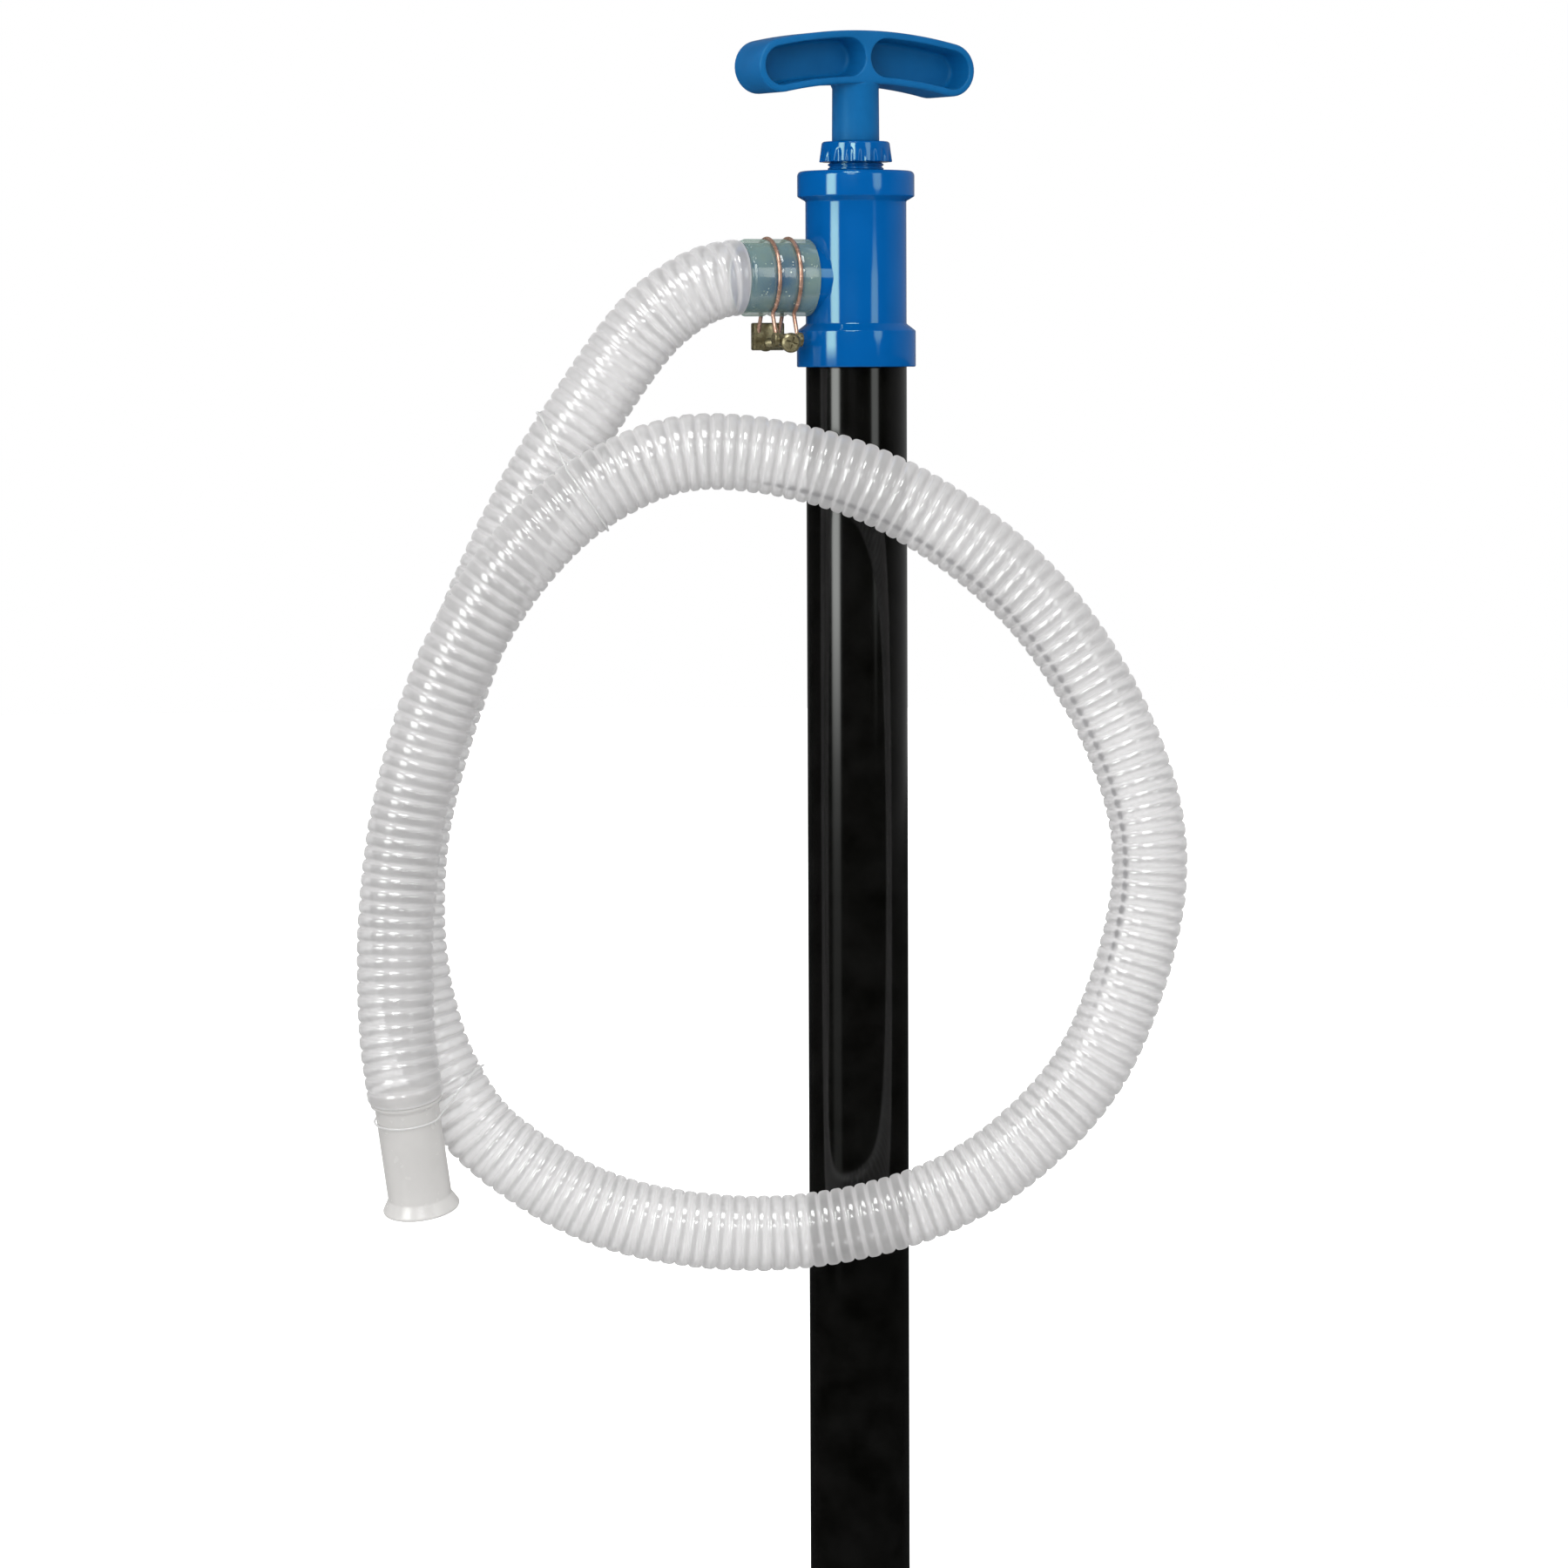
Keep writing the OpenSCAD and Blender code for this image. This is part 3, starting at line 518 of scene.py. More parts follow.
def build_gland_nut():
    """Flared nut with rounded flutes below a plain top band."""
    low, high = NUT_LOW.z, NUT_HIGH.z
    flutes, per_flute = 18, 20
    segments = flutes * per_flute
    flute_r, flute_centre = 2.15, 19.15
    flute_top = low + 7.6
    outer = [(18.2, low, 0.35), (16.8, high - 0.8, 0.5), (16.0, high, 0.6)]
    closed = fillet([(14.0, low, 0.3)] + outer + [
        (ROD_R + 0.6, high, 0.3), (ROD_R + 0.6, high - 2.4), (14.0, high - 2.4),
    ])
    # extra levels on the flared wall, so the flutes have a smooth end
    profile = []
    for i, (r, z) in enumerate(closed):
        profile.append((r, z))
        r2, z2 = closed[(i + 1) % len(closed)]
        if r > 16.5 and z2 - z > 4:
            profile += [(r + (r2 - r) * t / 22, z + (z2 - z) * t / 22) for t in range(1, 22)]
    verts = []
    for r, z in profile:
        depth_r = flute_r * math.sqrt(max(0.0, 1 - max(0.0, (z - flute_top + 2.4) / 2.4) ** 2))
        for k in range(segments):
            a = 2 * math.pi * k / segments
            off = (a + math.pi / flutes) % (2 * math.pi / flutes) - math.pi / flutes
            radius = r
            reach = flute_centre * math.sin(off)
            if r > 15 and abs(reach) < depth_r:
                cut = flute_centre * math.cos(off) - math.sqrt(depth_r ** 2 - reach ** 2)
                # soft minimum rounds the ridge between two flutes
                radius = -0.18 * math.log(math.exp(-r / 0.18) + math.exp(-cut / 0.18))
            verts.append((radius * math.cos(a), radius * math.sin(a), z))
    nut = new_object("gland_nut_shell", verts, grid_faces(len(profile), segments, True, True), 50)
    return place_piece(nut, "gland", HEAD_BLUE, "gloss_blue", "gland_nut")


# ---------------------------------------------------------------- handle

BOW = 240.0
BAR_W = 26.0
BAR_DEPTH = 25.0
BAR_HALF = math.asin((126.0 - BAR_W) / 2 / BOW)
POCKET_W = 19.0
POCKET_INNER = math.asin((3.0 + POCKET_W) / 2 / BOW)


def slot_outline(width, a0, a1, arc_steps=28, cap_steps=20):
    """(x, z) outline of a bowed slot with round ends, centre of the bow below the origin."""
    half = width / 2

    def on_bow(r, a):
        return r * math.sin(a), r * math.cos(a) - BOW

    points = [on_bow(BOW + half, a0 + (a1 - a0) * i / arc_steps) for i in range(arc_steps + 1)]
    x, z = on_bow(BOW, a1)
    for i in range(1, cap_steps):
        t = a1 + math.pi * i / cap_steps
        points.append((x + half * math.sin(t), z + half * math.cos(t)))
    points += [on_bow(BOW - half, a1 + (a0 - a1) * i / arc_steps) for i in range(arc_steps + 1)]
    x, z = on_bow(BOW, a0)
    for i in range(1, cap_steps):
        t = a0 + math.pi + math.pi * i / cap_steps
        points.append((x + half * math.sin(t), z + half * math.cos(t)))
    return points


def build_handle():
    """Bowed bar with two rounded pockets a side, all edges filleted, on a tapered stem."""
    bm = bmesh.new()

    def loop(width, a0, a1, y):
        return [bm.verts.new((x * MM, y * MM, z * MM)) for x, z in slot_outline(width, a0, a1)]

    def skin(loops):
        for one, two in zip(loops, loops[1:]):
            for k in range(len(one)):
                m = (k + 1) % len(one)
                bm.faces.new((one[k], one[m], two[m], two[k]))

    def edges_of(verts):
        return [bm.edges.get((verts[k], verts[(k + 1) % len(verts)])) for k in range(len(verts))]

    edge_r, rim_r, floor_r, steps = 1.6, 0.9, 2.2, 6
    half = BAR_DEPTH / 2
    quarter = [math.pi / 2 * i / steps for i in range(steps + 1)]
    front = [(BAR_W - 2 * edge_r * (1 - math.sin(t)), -half + edge_r * (1 - math.cos(t))) for t in quarter]
    back = [(w, -y) for w, y in reversed(front)]
    outer = [loop(w, -BAR_HALF, BAR_HALF, y) for w, y in front + back]
    skin(outer)
    for face_y, depth, shown in ((-half, 16.0, outer[0]), (half, 7.0, outer[-1])):
        inward = 1 if face_y < 0 else -1
        open_loops = [shown]
        for a0, a1 in ((-BAR_HALF, -POCKET_INNER), (POCKET_INNER, BAR_HALF)):
            draft = 0.5
            walls = [(POCKET_W + 2 * rim_r * (1 - math.sin(t)), rim_r * (1 - math.cos(t))) for t in quarter]
            low_w = POCKET_W - 2 * draft
            walls += [
                (low_w - 2 * floor_r * (1 - math.cos(t)), depth - floor_r * (1 - math.sin(t)))
                for t in quarter
            ]
            loops = [loop(w, a0, a1, face_y + inward * d) for w, d in walls]
            skin(loops)
            bm.faces.new(loops[-1])
            open_loops.append(loops[0])
        rim_edges = [e for ring in open_loops for e in edges_of(ring)]
        bmesh.ops.triangle_fill(bm, edges=rim_edges, use_beauty=True, use_dissolve=False)
    bmesh.ops.recalc_face_normals(bm, faces=bm.faces)
    mesh = bpy.data.meshes.new("handle_shell")
    bm.to_mesh(mesh)
    bm.free()
    handle = bpy.data.objects.new("handle_shell", mesh)
    bpy.context.scene.collection.objects.link(handle)
    centre_z = HANDLE_HIGH.z - BAR_W / 2
    mesh.transform(Matrix.Translation((0, 0, centre_z * MM)) @ Matrix.Rotation(HANDLE_TURN, 4, "Z"))
    under = centre_z - BAR_W / 2
    low = HANDLE_LOW.z
    stem = lathe("stem_solid", [
        (ROD_R + 0.05, low, 0.3), (11.75, low, 0.5), (11.55, under - 2.2),
        (12.3, under - 0.4, 1.2), (12.6, under + 2.5),
        (0, under + 2.5), (0, low + 23.05), (ROD_R + 0.05, low + 23.05),
    ], 128)
    boolean(handle, stem, "UNION")
    smooth_again(handle, 32)
    return place_piece(handle, "plunger", HANDLE_BLUE, "handle_blue", "handle")


# ---------------------------------------------------------------- hose

# Places on the centre line in the coil's plane: along it, out to the front, up from the outlet's axis
CUFF_END = -CUFF_LOW.x + 0.05
HOSE_STATIONS = np.array([
    (-CUFF_END * math.cos(COIL_TURN), -CUFF_END * math.sin(COIL_TURN), 0), (-97, 31, -18),
    (-134, 33, -66.5), (-166, 29.5, -119), (-197, 27.5, -189.5), (-218, 27, -258), (-223.5, 26.5, -311),
    (-218.5, 28, -356.5), (-203.5, 31, -397.5), (-177.5, 35, -429.5), (-121.5, 41.5, -460.5),
    (-46, 47.5, -470),
    (27.5, 49, -456.5), (80.5, 50.5, -425), (120, 51.5, -375), (142, 53, -294), (127.5, 55, -224.5),
    (81, 57, -153), (9, 59, -102.5), (-70, 61.5, -84.5), (-123.5, 66, -100.5), (-165.5, 69.5, -137.5),
    (-197.5, 69, -189.5), (-217.5, 68, -250), (-226, 67.5, -308.5), (-226.5, 67.8, -361.5),
    (-222.5, 66, -399.5),
])
HOSE_START_DIR = np.array([-math.cos(COIL_TURN), -math.sin(COIL_TURN), 0])
HOSE_END_DIR = unit(np.array([6.7, -13.0, -58.3]))


def coil_vector(p):
    """From the coil's axes to the pump's."""
    c, s = math.cos(COIL_TURN), math.sin(COIL_TURN)
    p = np.asarray(p)
    return np.stack([p[..., 0] * c + p[..., 1] * s, p[..., 0] * s - p[..., 1] * c, p[..., 2]], -1)


def hose_curve():
    """Dense points of the smooth curve through the stations, in the pump's frame."""
    s = HOSE_STATIONS
    first = s[1] - 2 * np.linalg.norm(s[1] - s[0]) * HOSE_START_DIR
    last = s[-2] + 2 * np.linalg.norm(s[-1] - s[-2]) * HOSE_END_DIR
    knots = np.vstack([first, s, last])
    places = []
    for i in range(len(s) - 1):
        a, b, c, d = knots[i:i + 4]
        for t in np.linspace(0, 1, 60, endpoint=False):
            places.append(0.5 * (2 * b + (c - a) * t + (2 * a - 5 * b + 4 * c - d) * t ** 2
                                 + (3 * b - 3 * c + d - a) * t ** 3))
    places.append(s[-1])
    return coil_vector(np.array(places)) + [0, 0, OUTLET_Z]


CURVE = hose_curve()
CURVE_S = np.concatenate([[0], np.cumsum(np.linalg.norm(np.diff(CURVE, axis=0), axis=1))])
HOSE_LENGTH = CURVE_S[-1]
FRONT = coil_vector([0, 1, 0])
END_AXIS = coil_vector(HOSE_END_DIR)


def on_hose(s):
    """Centre-line points at distances s along the hose, running straight on past its ends."""
    s = np.asarray(s, float)
    point = np.stack([np.interp(s, CURVE_S, CURVE[:, i]) for i in range(3)], -1)
    before = np.minimum(s, 0)[..., None] * coil_vector(HOSE_START_DIR)
    after = np.maximum(s - HOSE_LENGTH, 0)[..., None] * END_AXIS
    return point + before + after


def hose_frames(s):
    """Direction, sideways and outward unit vectors at distances s."""
    direction = unit(on_hose(np.asarray(s) + 1.5) - on_hose(np.asarray(s) - 1.5))
    across = unit(np.cross(direction, FRONT))
    return direction, across, np.cross(across, direction)


def station_place(number):
    """Distance along the hose of a place given in station numbers, as the CAD gives it."""
    return float(np.interp(number * 60, np.arange(len(CURVE_S)), CURVE_S))


RIB_PITCH = 6.45
RIB_DEPTH = 2.1
HOSE_R = 18.7
HOSE_WALL = 0.9


def build_hose():
    """Corrugated tube: rounded ribs, narrow grooves, one wall thickness, two moulding seams."""
    ribs = round(HOSE_LENGTH / RIB_PITCH)
    per_rib = 10
    around = 48
    rows = ribs * per_rib + 1
    t = np.arange(rows) / per_rib
    s = t / ribs * (HOSE_LENGTH - 0.1) + 0.05
    angle = np.arange(around) * 2 * math.pi / around
    rib_number = np.floor(t)
    uneven = 0.12 * np.sin(rib_number * 12.9898) * np.sin(rib_number * 4.37)
    # the two mould halves meet at the sides, a little out of step
    half_side = np.tanh(np.sin(angle) * 9)
    phase = (t[:, None] + 0.035 * half_side[None, :]) % 1.0
    x = np.abs(2 * phase - 1)
    crest = (1 - x ** 3.4) ** 0.62
    seam = np.exp(-(np.sin(angle) / 0.045) ** 2)
    _, across, out = hose_frames(s)
    centre = on_hose(s)
    wobble = 0.15 * np.sin(s / 41.0)[:, None] * np.cos(2 * angle)[None, :]
    # painted dark dashes just inside the bend, along the right-hand and top part of the loop: a painted
    # reflection of the black barrel on the clear rib crests
    painted_reflection_place = np.exp(-((angle - 2.32) / 0.1) ** 2)
    painted_reflection_reach = np.clip((s - station_place(13.6)) / 90, 0, 1) * np.clip((station_place(19.2) - s) / 60, 0, 1)
    painted_reflection = crest ** 3 * painted_reflection_place[None, :] * painted_reflection_reach[:, None]
    radius = HOSE_R - RIB_DEPTH * (1 - crest) - 0.15 + uneven[:, None] + 0.14 * seam[None, :] + wobble
    radius = np.minimum(radius, HOSE_R)

    def ring(r):
        return (centre[:, None, :] + (r * np.cos(angle))[..., None] * across[:, None, :]
                + (r * np.sin(angle))[..., None] * out[:, None, :])

    outer = ring(radius).reshape(-1, 3)
    inner = ring(radius - HOSE_WALL)[::-1].reshape(-1, 3)
    verts = np.vstack([outer, inner]) * MM
    faces = np.array(grid_faces(2 * rows, around, True, True))
    mesh = bpy.data.meshes.new("corrugated_hose")
    mesh.from_pydata(verts.tolist(), [], faces.tolist())
    mesh.shade_smooth()
    # the third attribute places the painted reflection: dark dashes inside the bend
    for name, values in (
        ("rib", np.concatenate([crest.ravel(), crest[::-1].ravel()])),
        ("inner_skin", np.concatenate([np.zeros(rows * around), np.ones(rows * around)])),
        ("painted_reflection", np.concatenate([painted_reflection.ravel(), np.zeros(rows * around)])),
    ):
        mesh.attributes.new(name, "FLOAT", "POINT").data.foreach_set("value", values.astype(np.float32))
    mesh.attributes.new("radial", "FLOAT_VECTOR", "POINT")
    bm = bmesh.new()
    bm.from_mesh(mesh)
    bmesh.ops.recalc_face_normals(bm, faces=bm.faces)
    bm.to_mesh(mesh)
    bm.free()
    normals = np.empty(len(mesh.vertices) * 3)
    mesh.vertices.foreach_get("normal", normals)
    normals = normals.reshape(-1, 3)
    smooth = (np.cos(angle)[None, :, None] * across[:, None, :]
              + np.sin(angle)[None, :, None] * out[:, None, :])
    smooth = np.vstack([smooth.reshape(-1, 3), -smooth[::-1].reshape(-1, 3)])
    radial = unit(0.65 * smooth + 0.35 * normals)
    mesh.attributes["radial"].data.foreach_set("vector", radial.astype(np.float32).ravel())
    hose = bpy.data.objects.new("corrugated_hose", mesh)
    bpy.context.scene.collection.objects.link(hose)
    return place_piece(hose, "pump", HOSE_MILK, "hose_milky", "discharge_hose")


def build_inlet_cuff():
    """Smooth cuff stretched over the spigot, pressed in a little by the clamp's wires."""
    bore = 17.05
    length = CUFF_HIGH.x - CUFF_LOW.x
    wires = [WIRE_LOW.x + WIRE_R, WIRE_HIGH.x - WIRE_R]
    outline = [(bore, 0), (CUFF_R - 0.05, 0, 0.9)]
    for x in sorted(wires, reverse=True):
        at = CUFF_HIGH.x - x
        outline += [
            (CUFF_R, at - 2.4, 1.2), (CUFF_R - 0.85, at - 0.7, 0.7), (CUFF_R - 0.85, at + 0.7, 0.7),
            (CUFF_R, at + 2.4, 1.2),
        ]
    outline += [
        (CUFF_R, length - 2.4, 0.5), (CUFF_R - 0.9, length - 1.4, 0.5), (CUFF_R - 0.9, length),
        (bore, length),
    ]
    cuff = lathe("inlet_cuff_shell", outline, 160, axes_to((CUFF_HIGH.x, 0, OUTLET_Z), (-1, 0, 0)))
    return place_piece(cuff, "pump", CUFF_CLEAR, "cuff_clear", "hose_inlet_cuff")


END_CUFF_LENGTH = 58.0


def build_end_cuff():
    """Smooth cuff at the free end with a rolled, flared rim."""
    bore, wall_r, rim_r, length = 14.0, 15.65, 19.0, END_CUFF_LENGTH
    outline = [
        (bore, 0.1), (HOSE_R - 1.2, 0.1), (HOSE_R - 1.2, 1.4, 0.6), (wall_r, 3.2, 1.6),
        (wall_r, length - 7.0, 2.5), (rim_r - 0.7, length - 2.4, 0.8), (rim_r, length - 1.2, 0.7),
        (rim_r - 0.5, length, 0.6), (bore + 2.2, length - 0.2, 1.2),
        (bore, length - 3.2, 2.0),
    ]
    cuff = lathe("end_cuff_shell", outline, 160, axes_to(tuple(on_hose(HOSE_LENGTH)), tuple(END_AXIS)))
    return place_piece(cuff, "pump", CUFF_MILK, "hose_milky", "hose_end_cuff")


# ---------------------------------------------------------------- ties

def tie_loop(c1, d1, r1, c2, d2, r2):
    """Closed path round two round hoses: a half turn on each and straight runs between."""
    away1 = unit((c1 - c2) - ((c1 - c2) @ d1) * d1)
    away2 = unit((c2 - c1) - ((c2 - c1) @ d2) * d2)
    side1 = np.cross(d1, away1)
    side2 = np.cross(d2, away2)
    if side1 @ side2 < 0:
        side2 = -side2
    turn = np.linspace(-math.pi / 2, math.pi / 2, 33)
    first = [c1 + r1 * (math.cos(a) * away1 + math.sin(a) * side1) for a in turn]
    second = [c2 + r2 * (math.cos(a) * away2 - math.sin(a) * side2) for a in turn]
    path = []
    for one, two in ((first, second), (second, first)):
        path += one
        path += [one[-1] + (two[0] - one[-1]) * k / 16 for k in range(1, 16)]
    return np.array(path)


def build_ties():
    gap = 1.0
    back, loop = station_place(2.2), station_place(20.2)
    d_back, d_loop = hose_frames([back])[0][0], hose_frames([loop])[0][0]
    path = tie_loop(on_hose(back), d_back, HOSE_R + gap, on_hose(loop), d_loop, HOSE_R + gap)
    upper = strand("tie_strand_upper", path, 0.5, 10, closed=True)
    place_piece(upper, "pump", TIE_CLEAR, "tie_clear", "hose_tie_upper")
    back = station_place(8)
    d_back = hose_frames([back])[0][0]
    path = tie_loop(on_hose(back), d_back, HOSE_R + gap, on_hose(HOSE_LENGTH + 10), END_AXIS, 15.65 + gap)
    lower = strand("tie_strand_lower", path, 0.5, 10, closed=True)
    place_piece(lower, "pump", TIE_CLEAR, "tie_clear", "hose_tie_lower")


# ---------------------------------------------------------------- hose clamp

CLAMP_X = (WIRE_LOW.x + WIRE_HIGH.x) / 2
CLAMP_PITCH = WIRE_HIGH.x - WIRE_LOW.x - 2 * WIRE_R
RING_R = CUFF_R + 0.2
LEG_ANGLE = math.radians(25)


def clamp_place(a, r, x):
    return np.array([x, r * math.sin(a), OUTLET_Z - r * math.cos(a)])


def build_clamp_wires():
    """Two wire rings whose ends turn out through the blocks below."""
    pieces = []
    for x in (CLAMP_X - CLAMP_PITCH / 2, CLAMP_X + CLAMP_PITCH / 2):
        bend = 2.2
        lead = bend / RING_R
        leg = [clamp_place(-LEG_ANGLE, r, x) for r in np.linspace(34.0, RING_R + bend, 8)]
        corner_a, corner = leg[-1], clamp_place(-LEG_ANGLE, RING_R, x)
        corner_b = clamp_place(-LEG_ANGLE - lead, RING_R, x)
        curve = [
            (1 - t) ** 2 * corner_a + 2 * t * (1 - t) * corner + t ** 2 * corner_b
            for t in np.linspace(0.15, 0.85, 5)
        ]
        turn = 2 * math.pi - 2 * LEG_ANGLE - 2 * lead
        ring = [clamp_place(-LEG_ANGLE - lead - turn * k / 90, RING_R, x) for k in range(91)]
        mirror = [p * [1, -1, 1] for p in reversed(leg + curve)]
        pieces.append(strand("clamp_wire_%d" % len(pieces), leg + curve + ring + mirror, WIRE_R, 16))
    both = pieces[0]
    bm = bmesh.new()
    for piece in pieces:
        bm.from_mesh(piece.data)
    bm.to_mesh(both.data)
    bm.free()
    bpy.data.objects.remove(pieces[1])
    both.name = "clamp_wire_pair"
    smooth_again(both, 60)
    return place_piece(both, "pump", WIRE_ZINC, "wire_zinc", "clamp_wire")


def rounded_block(name, low, high, radius, segments=3):
    """A block with rounded edges between two corners, in millimetres."""
    bm = bmesh.new()
    bmesh.ops.create_cube(bm, size=1.0)
    size, middle = (Vector(high) - Vector(low)), (Vector(high) + Vector(low)) / 2
    for v in bm.verts:
        v.co = Vector((v.co.x * size.x, v.co.y * size.y, v.co.z * size.z)) + middle
        v.co *= MM
    bmesh.ops.bevel(bm, geom=bm.edges[:], offset=radius * MM, segments=segments, affect="EDGES", profile=0.5)
    mesh = bpy.data.meshes.new(name)
    bm.to_mesh(mesh)
    bm.free()
    obj = bpy.data.objects.new(name, mesh)
    bpy.context.scene.collection.objects.link(obj)
    return smooth_again(obj, 40)


def build_clamp_blocks():
    """The nut block behind, the bar in front, and the recessed screw through both."""
    axis_z = (SCREW_LOW.z + SCREW_HIGH.z) / 2
    hole = [(0, -2), (2.6, -2), (2.6, 12), (0, 12)]

    block = rounded_block("clamp_nut_block", BLOCK_LOW, BLOCK_HIGH, 0.8)
    boss = lathe("boss_solid", [(0, 0), (4.2, 0), (4.2, 1.6, 0.5), (0, 1.6)], 48,
                 axes_to((CLAMP_X, BLOCK_HIGH.y - 0.4, axis_z), (0, 1, 0)))
    boolean(block, boss, "UNION")
    place = axes_to((CLAMP_X, BLOCK_LOW.y, axis_z), (0, 1, 0))
    boolean(block, lathe("hole_solid", hole, 48, place), "DIFFERENCE")
    place_piece(smooth_again(block, 35), "pump", YELLOW_ZINC, "yellow_zinc", "clamp_nut")

    middle_y, middle_z = (SADDLE_LOW.y + SADDLE_HIGH.y) / 2, (SADDLE_LOW.z + SADDLE_HIGH.z) / 2
    length = SADDLE_HIGH.x - SADDLE_LOW.x
    r = (SADDLE_HIGH.z - SADDLE_LOW.z) / 2
    bar = lathe("clamp_saddle_bar", [
        (0, 0), (r - 0.2, 0, 0.6), (r - 0.2, 2.2, 0.3), (r - 0.8, 2.8, 0.3), (r - 0.8, length - 2.8, 0.3),
        (r - 0.2, length - 2.2, 0.3), (r - 0.2, length, 0.6), (0, length),
    ], 64, axes_to((SADDLE_LOW.x, middle_y, middle_z), (1, 0, 0)))
    place = axes_to((CLAMP_X, SADDLE_LOW.y - 1, axis_z), (0, 1, 0))
    boolean(bar, lathe("hole_solid", hole, 48, place), "DIFFERENCE")
    place_piece(smooth_again(bar, 35), "pump", YELLOW_ZINC, "yellow_zinc", "clamp_saddle")

    head_t, head_r, shank_r = 2.8, 4.9, 2.45
    length = SCREW_HIGH.y - SCREW_LOW.y
    outline = [
        (0, 0), (head_r - 1.4, 0, 1.2), (head_r, 1.1, 0.9), (head_r, head_t, 0.3), (shank_r, head_t, 0.2),
    ]
    turns = int((length - head_t - 3) / 0.8)
    for i in range(turns):
        y = head_t + 2 + 0.8 * i
        outline += [(shank_r - 0.35, y), (shank_r, y + 0.3), (shank_r, y + 0.45)]
    outline += [(shank_r - 0.5, length), (0, length)]
    place = axes_to((CLAMP_X, SCREW_LOW.y, axis_z), (0, 1, 0))
    screw = lathe("clamp_screw_body", outline, 64, place)
    for turn in (20, 110):
        cutter = rounded_block("recess_solid", (-3.0, -0.6, -1.8), (3.0, 0.6, 1.8), 0.25)
        cutter.data.transform(Matrix.Rotation(math.radians(turn), 4, "Z"))
        shift = place.copy()
        shift.translation *= MM
        cutter.data.transform(shift)
        boolean(screw, cutter, "DIFFERENCE")
    place_piece(smooth_again(screw, 35), "screw", YELLOW_ZINC, "yellow_zinc", "clamp_screw")


# ---------------------------------------------------------------- barrel and foot

def build_barrel():
    """Plain pipe with lightly broken ends."""
    bore = TUBE_R - 2.4
    outline = [
        (bore, TUBE_LOW.z, 0.3), (TUBE_R, TUBE_LOW.z, 0.5), (TUBE_R, TUBE_HIGH.z, 0.5),
        (bore, TUBE_HIGH.z, 0.3),
    ]
    tube = lathe("barrel_pipe", outline, 224)
    return place_piece(tube, "pump", BARREL_BLACK, "barrel_black", "barrel_tube")


def build_strainer():
    """Closed cup with rounded slots round its wall."""
    r = FOOT_HIGH.x
    top = FOOT_HIGH.z
    outline = [(0, 0), (r, 0, 1.8), (r, top, 0.5), (r - 3, top, 0.3), (r - 3, 3, 1.5), (0, 3)]
    cup = lathe("foot_strainer_cup", outline, 192)
    for i in range(8):
        cutter = rounded_block("slot_solid", (-r - 5, -1.5, 6), (r + 5, 1.5, 22), 1.4, 5)
        cutter.data.transform(Matrix.Rotation(math.radians(i * 22.5), 4, "Z"))
        boolean(cup, cutter, "DIFFERENCE")
    return place_piece(smooth_again(cup, 35), "pump", FOOT_BLACK, "strainer_black", "foot_strainer")


# ---------------------------------------------------------------- CAD nodes that stay

CAD_LOOKS = {
    "piston_rod": ROD_GREY, "rod_end_plug": ROD_GREY, "gland_follower": ACETAL, "rod_guide_bush": ACETAL,
    "piston_head": ACETAL, "foot_valve_seat": FOOT_BLACK, "foot_valve_cage": ACETAL, "rod_seal": RUBBER,
    "cap_seal": RUBBER, "foot_seal": RUBBER, "piston_cup": RUBBER, "piston_valve_disc": RUBBER,
    "foot_valve_disc": RUBBER, "piston_valve_stop": STEEL, "piston_washer": STEEL, "piston_nut": STEEL,
}

build_pump_head()
build_top_cap()
build_gland_nut()
build_handle()
build_hose()
build_inlet_cuff()
build_end_cuff()
build_ties()
build_clamp_wires()
build_clamp_blocks()
build_barrel()
build_strainer()
for node_name, look in CAD_LOOKS.items():
    dress(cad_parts[node_name], look)


# ---------------------------------------------------------------- stage, light and camera

VIEW_TURN = math.radians(-20)
CAMERA_BACK = Vector((math.sin(VIEW_TURN), -math.cos(VIEW_TURN), 0))
CAMERA_RIGHT = Vector((math.cos(VIEW_TURN), math.sin(VIEW_TURN), 0))
UP = Vector((0, 0, 1))
FILL = 0.85
BACKDROP = 2.4


def build_floor():
    """Pale floor that the camera sees as nearly white and reflections see as dark."""
    mesh = bpy.data.meshes.new("studio_floor")
    reach, rings = 9.0, 64
    turns = [2 * math.pi * k / rings for k in range(rings)]
    rim = [(reach * math.cos(turn), reach * math.sin(turn), 0) for turn in turns]
    mesh.from_pydata(rim, [], [tuple(range(rings))])
    floor = bpy.data.objects.new("studio_floor", mesh)
    bpy.context.scene.collection.objects.link(floor)
    floor.location.z = -0.0005
    n = Nodes("floor_pale")
    path = n.add("ShaderNodeLightPath").outputs
    matte = n.add("ShaderNodeBsdfDiffuse", {"Color": (0.62, 0.62, 0.62, 1)}).outputs[0]
    glow = n.add("ShaderNodeEmission", {"Color": (1, 1, 1, 1), "Strength": 0.78}).outputs[0]
    dark = n.add("ShaderNodeEmission", {"Color": (1, 1, 1, 1), "Strength": 0.02}).outputs[0]
    both = n.add("ShaderNodeAddShader", {0: matte, 1: glow}).outputs[0]
    unseen = n.add("ShaderNodeMixShader", {0: path["Is Glossy Ray"], 1: matte, 2: dark}).outputs[0]
    floor.data.materials.append(
        n.finish(n.add("ShaderNodeMixShader", {0: path["Is Camera Ray"], 1: unseen, 2: both}).outputs[0]))


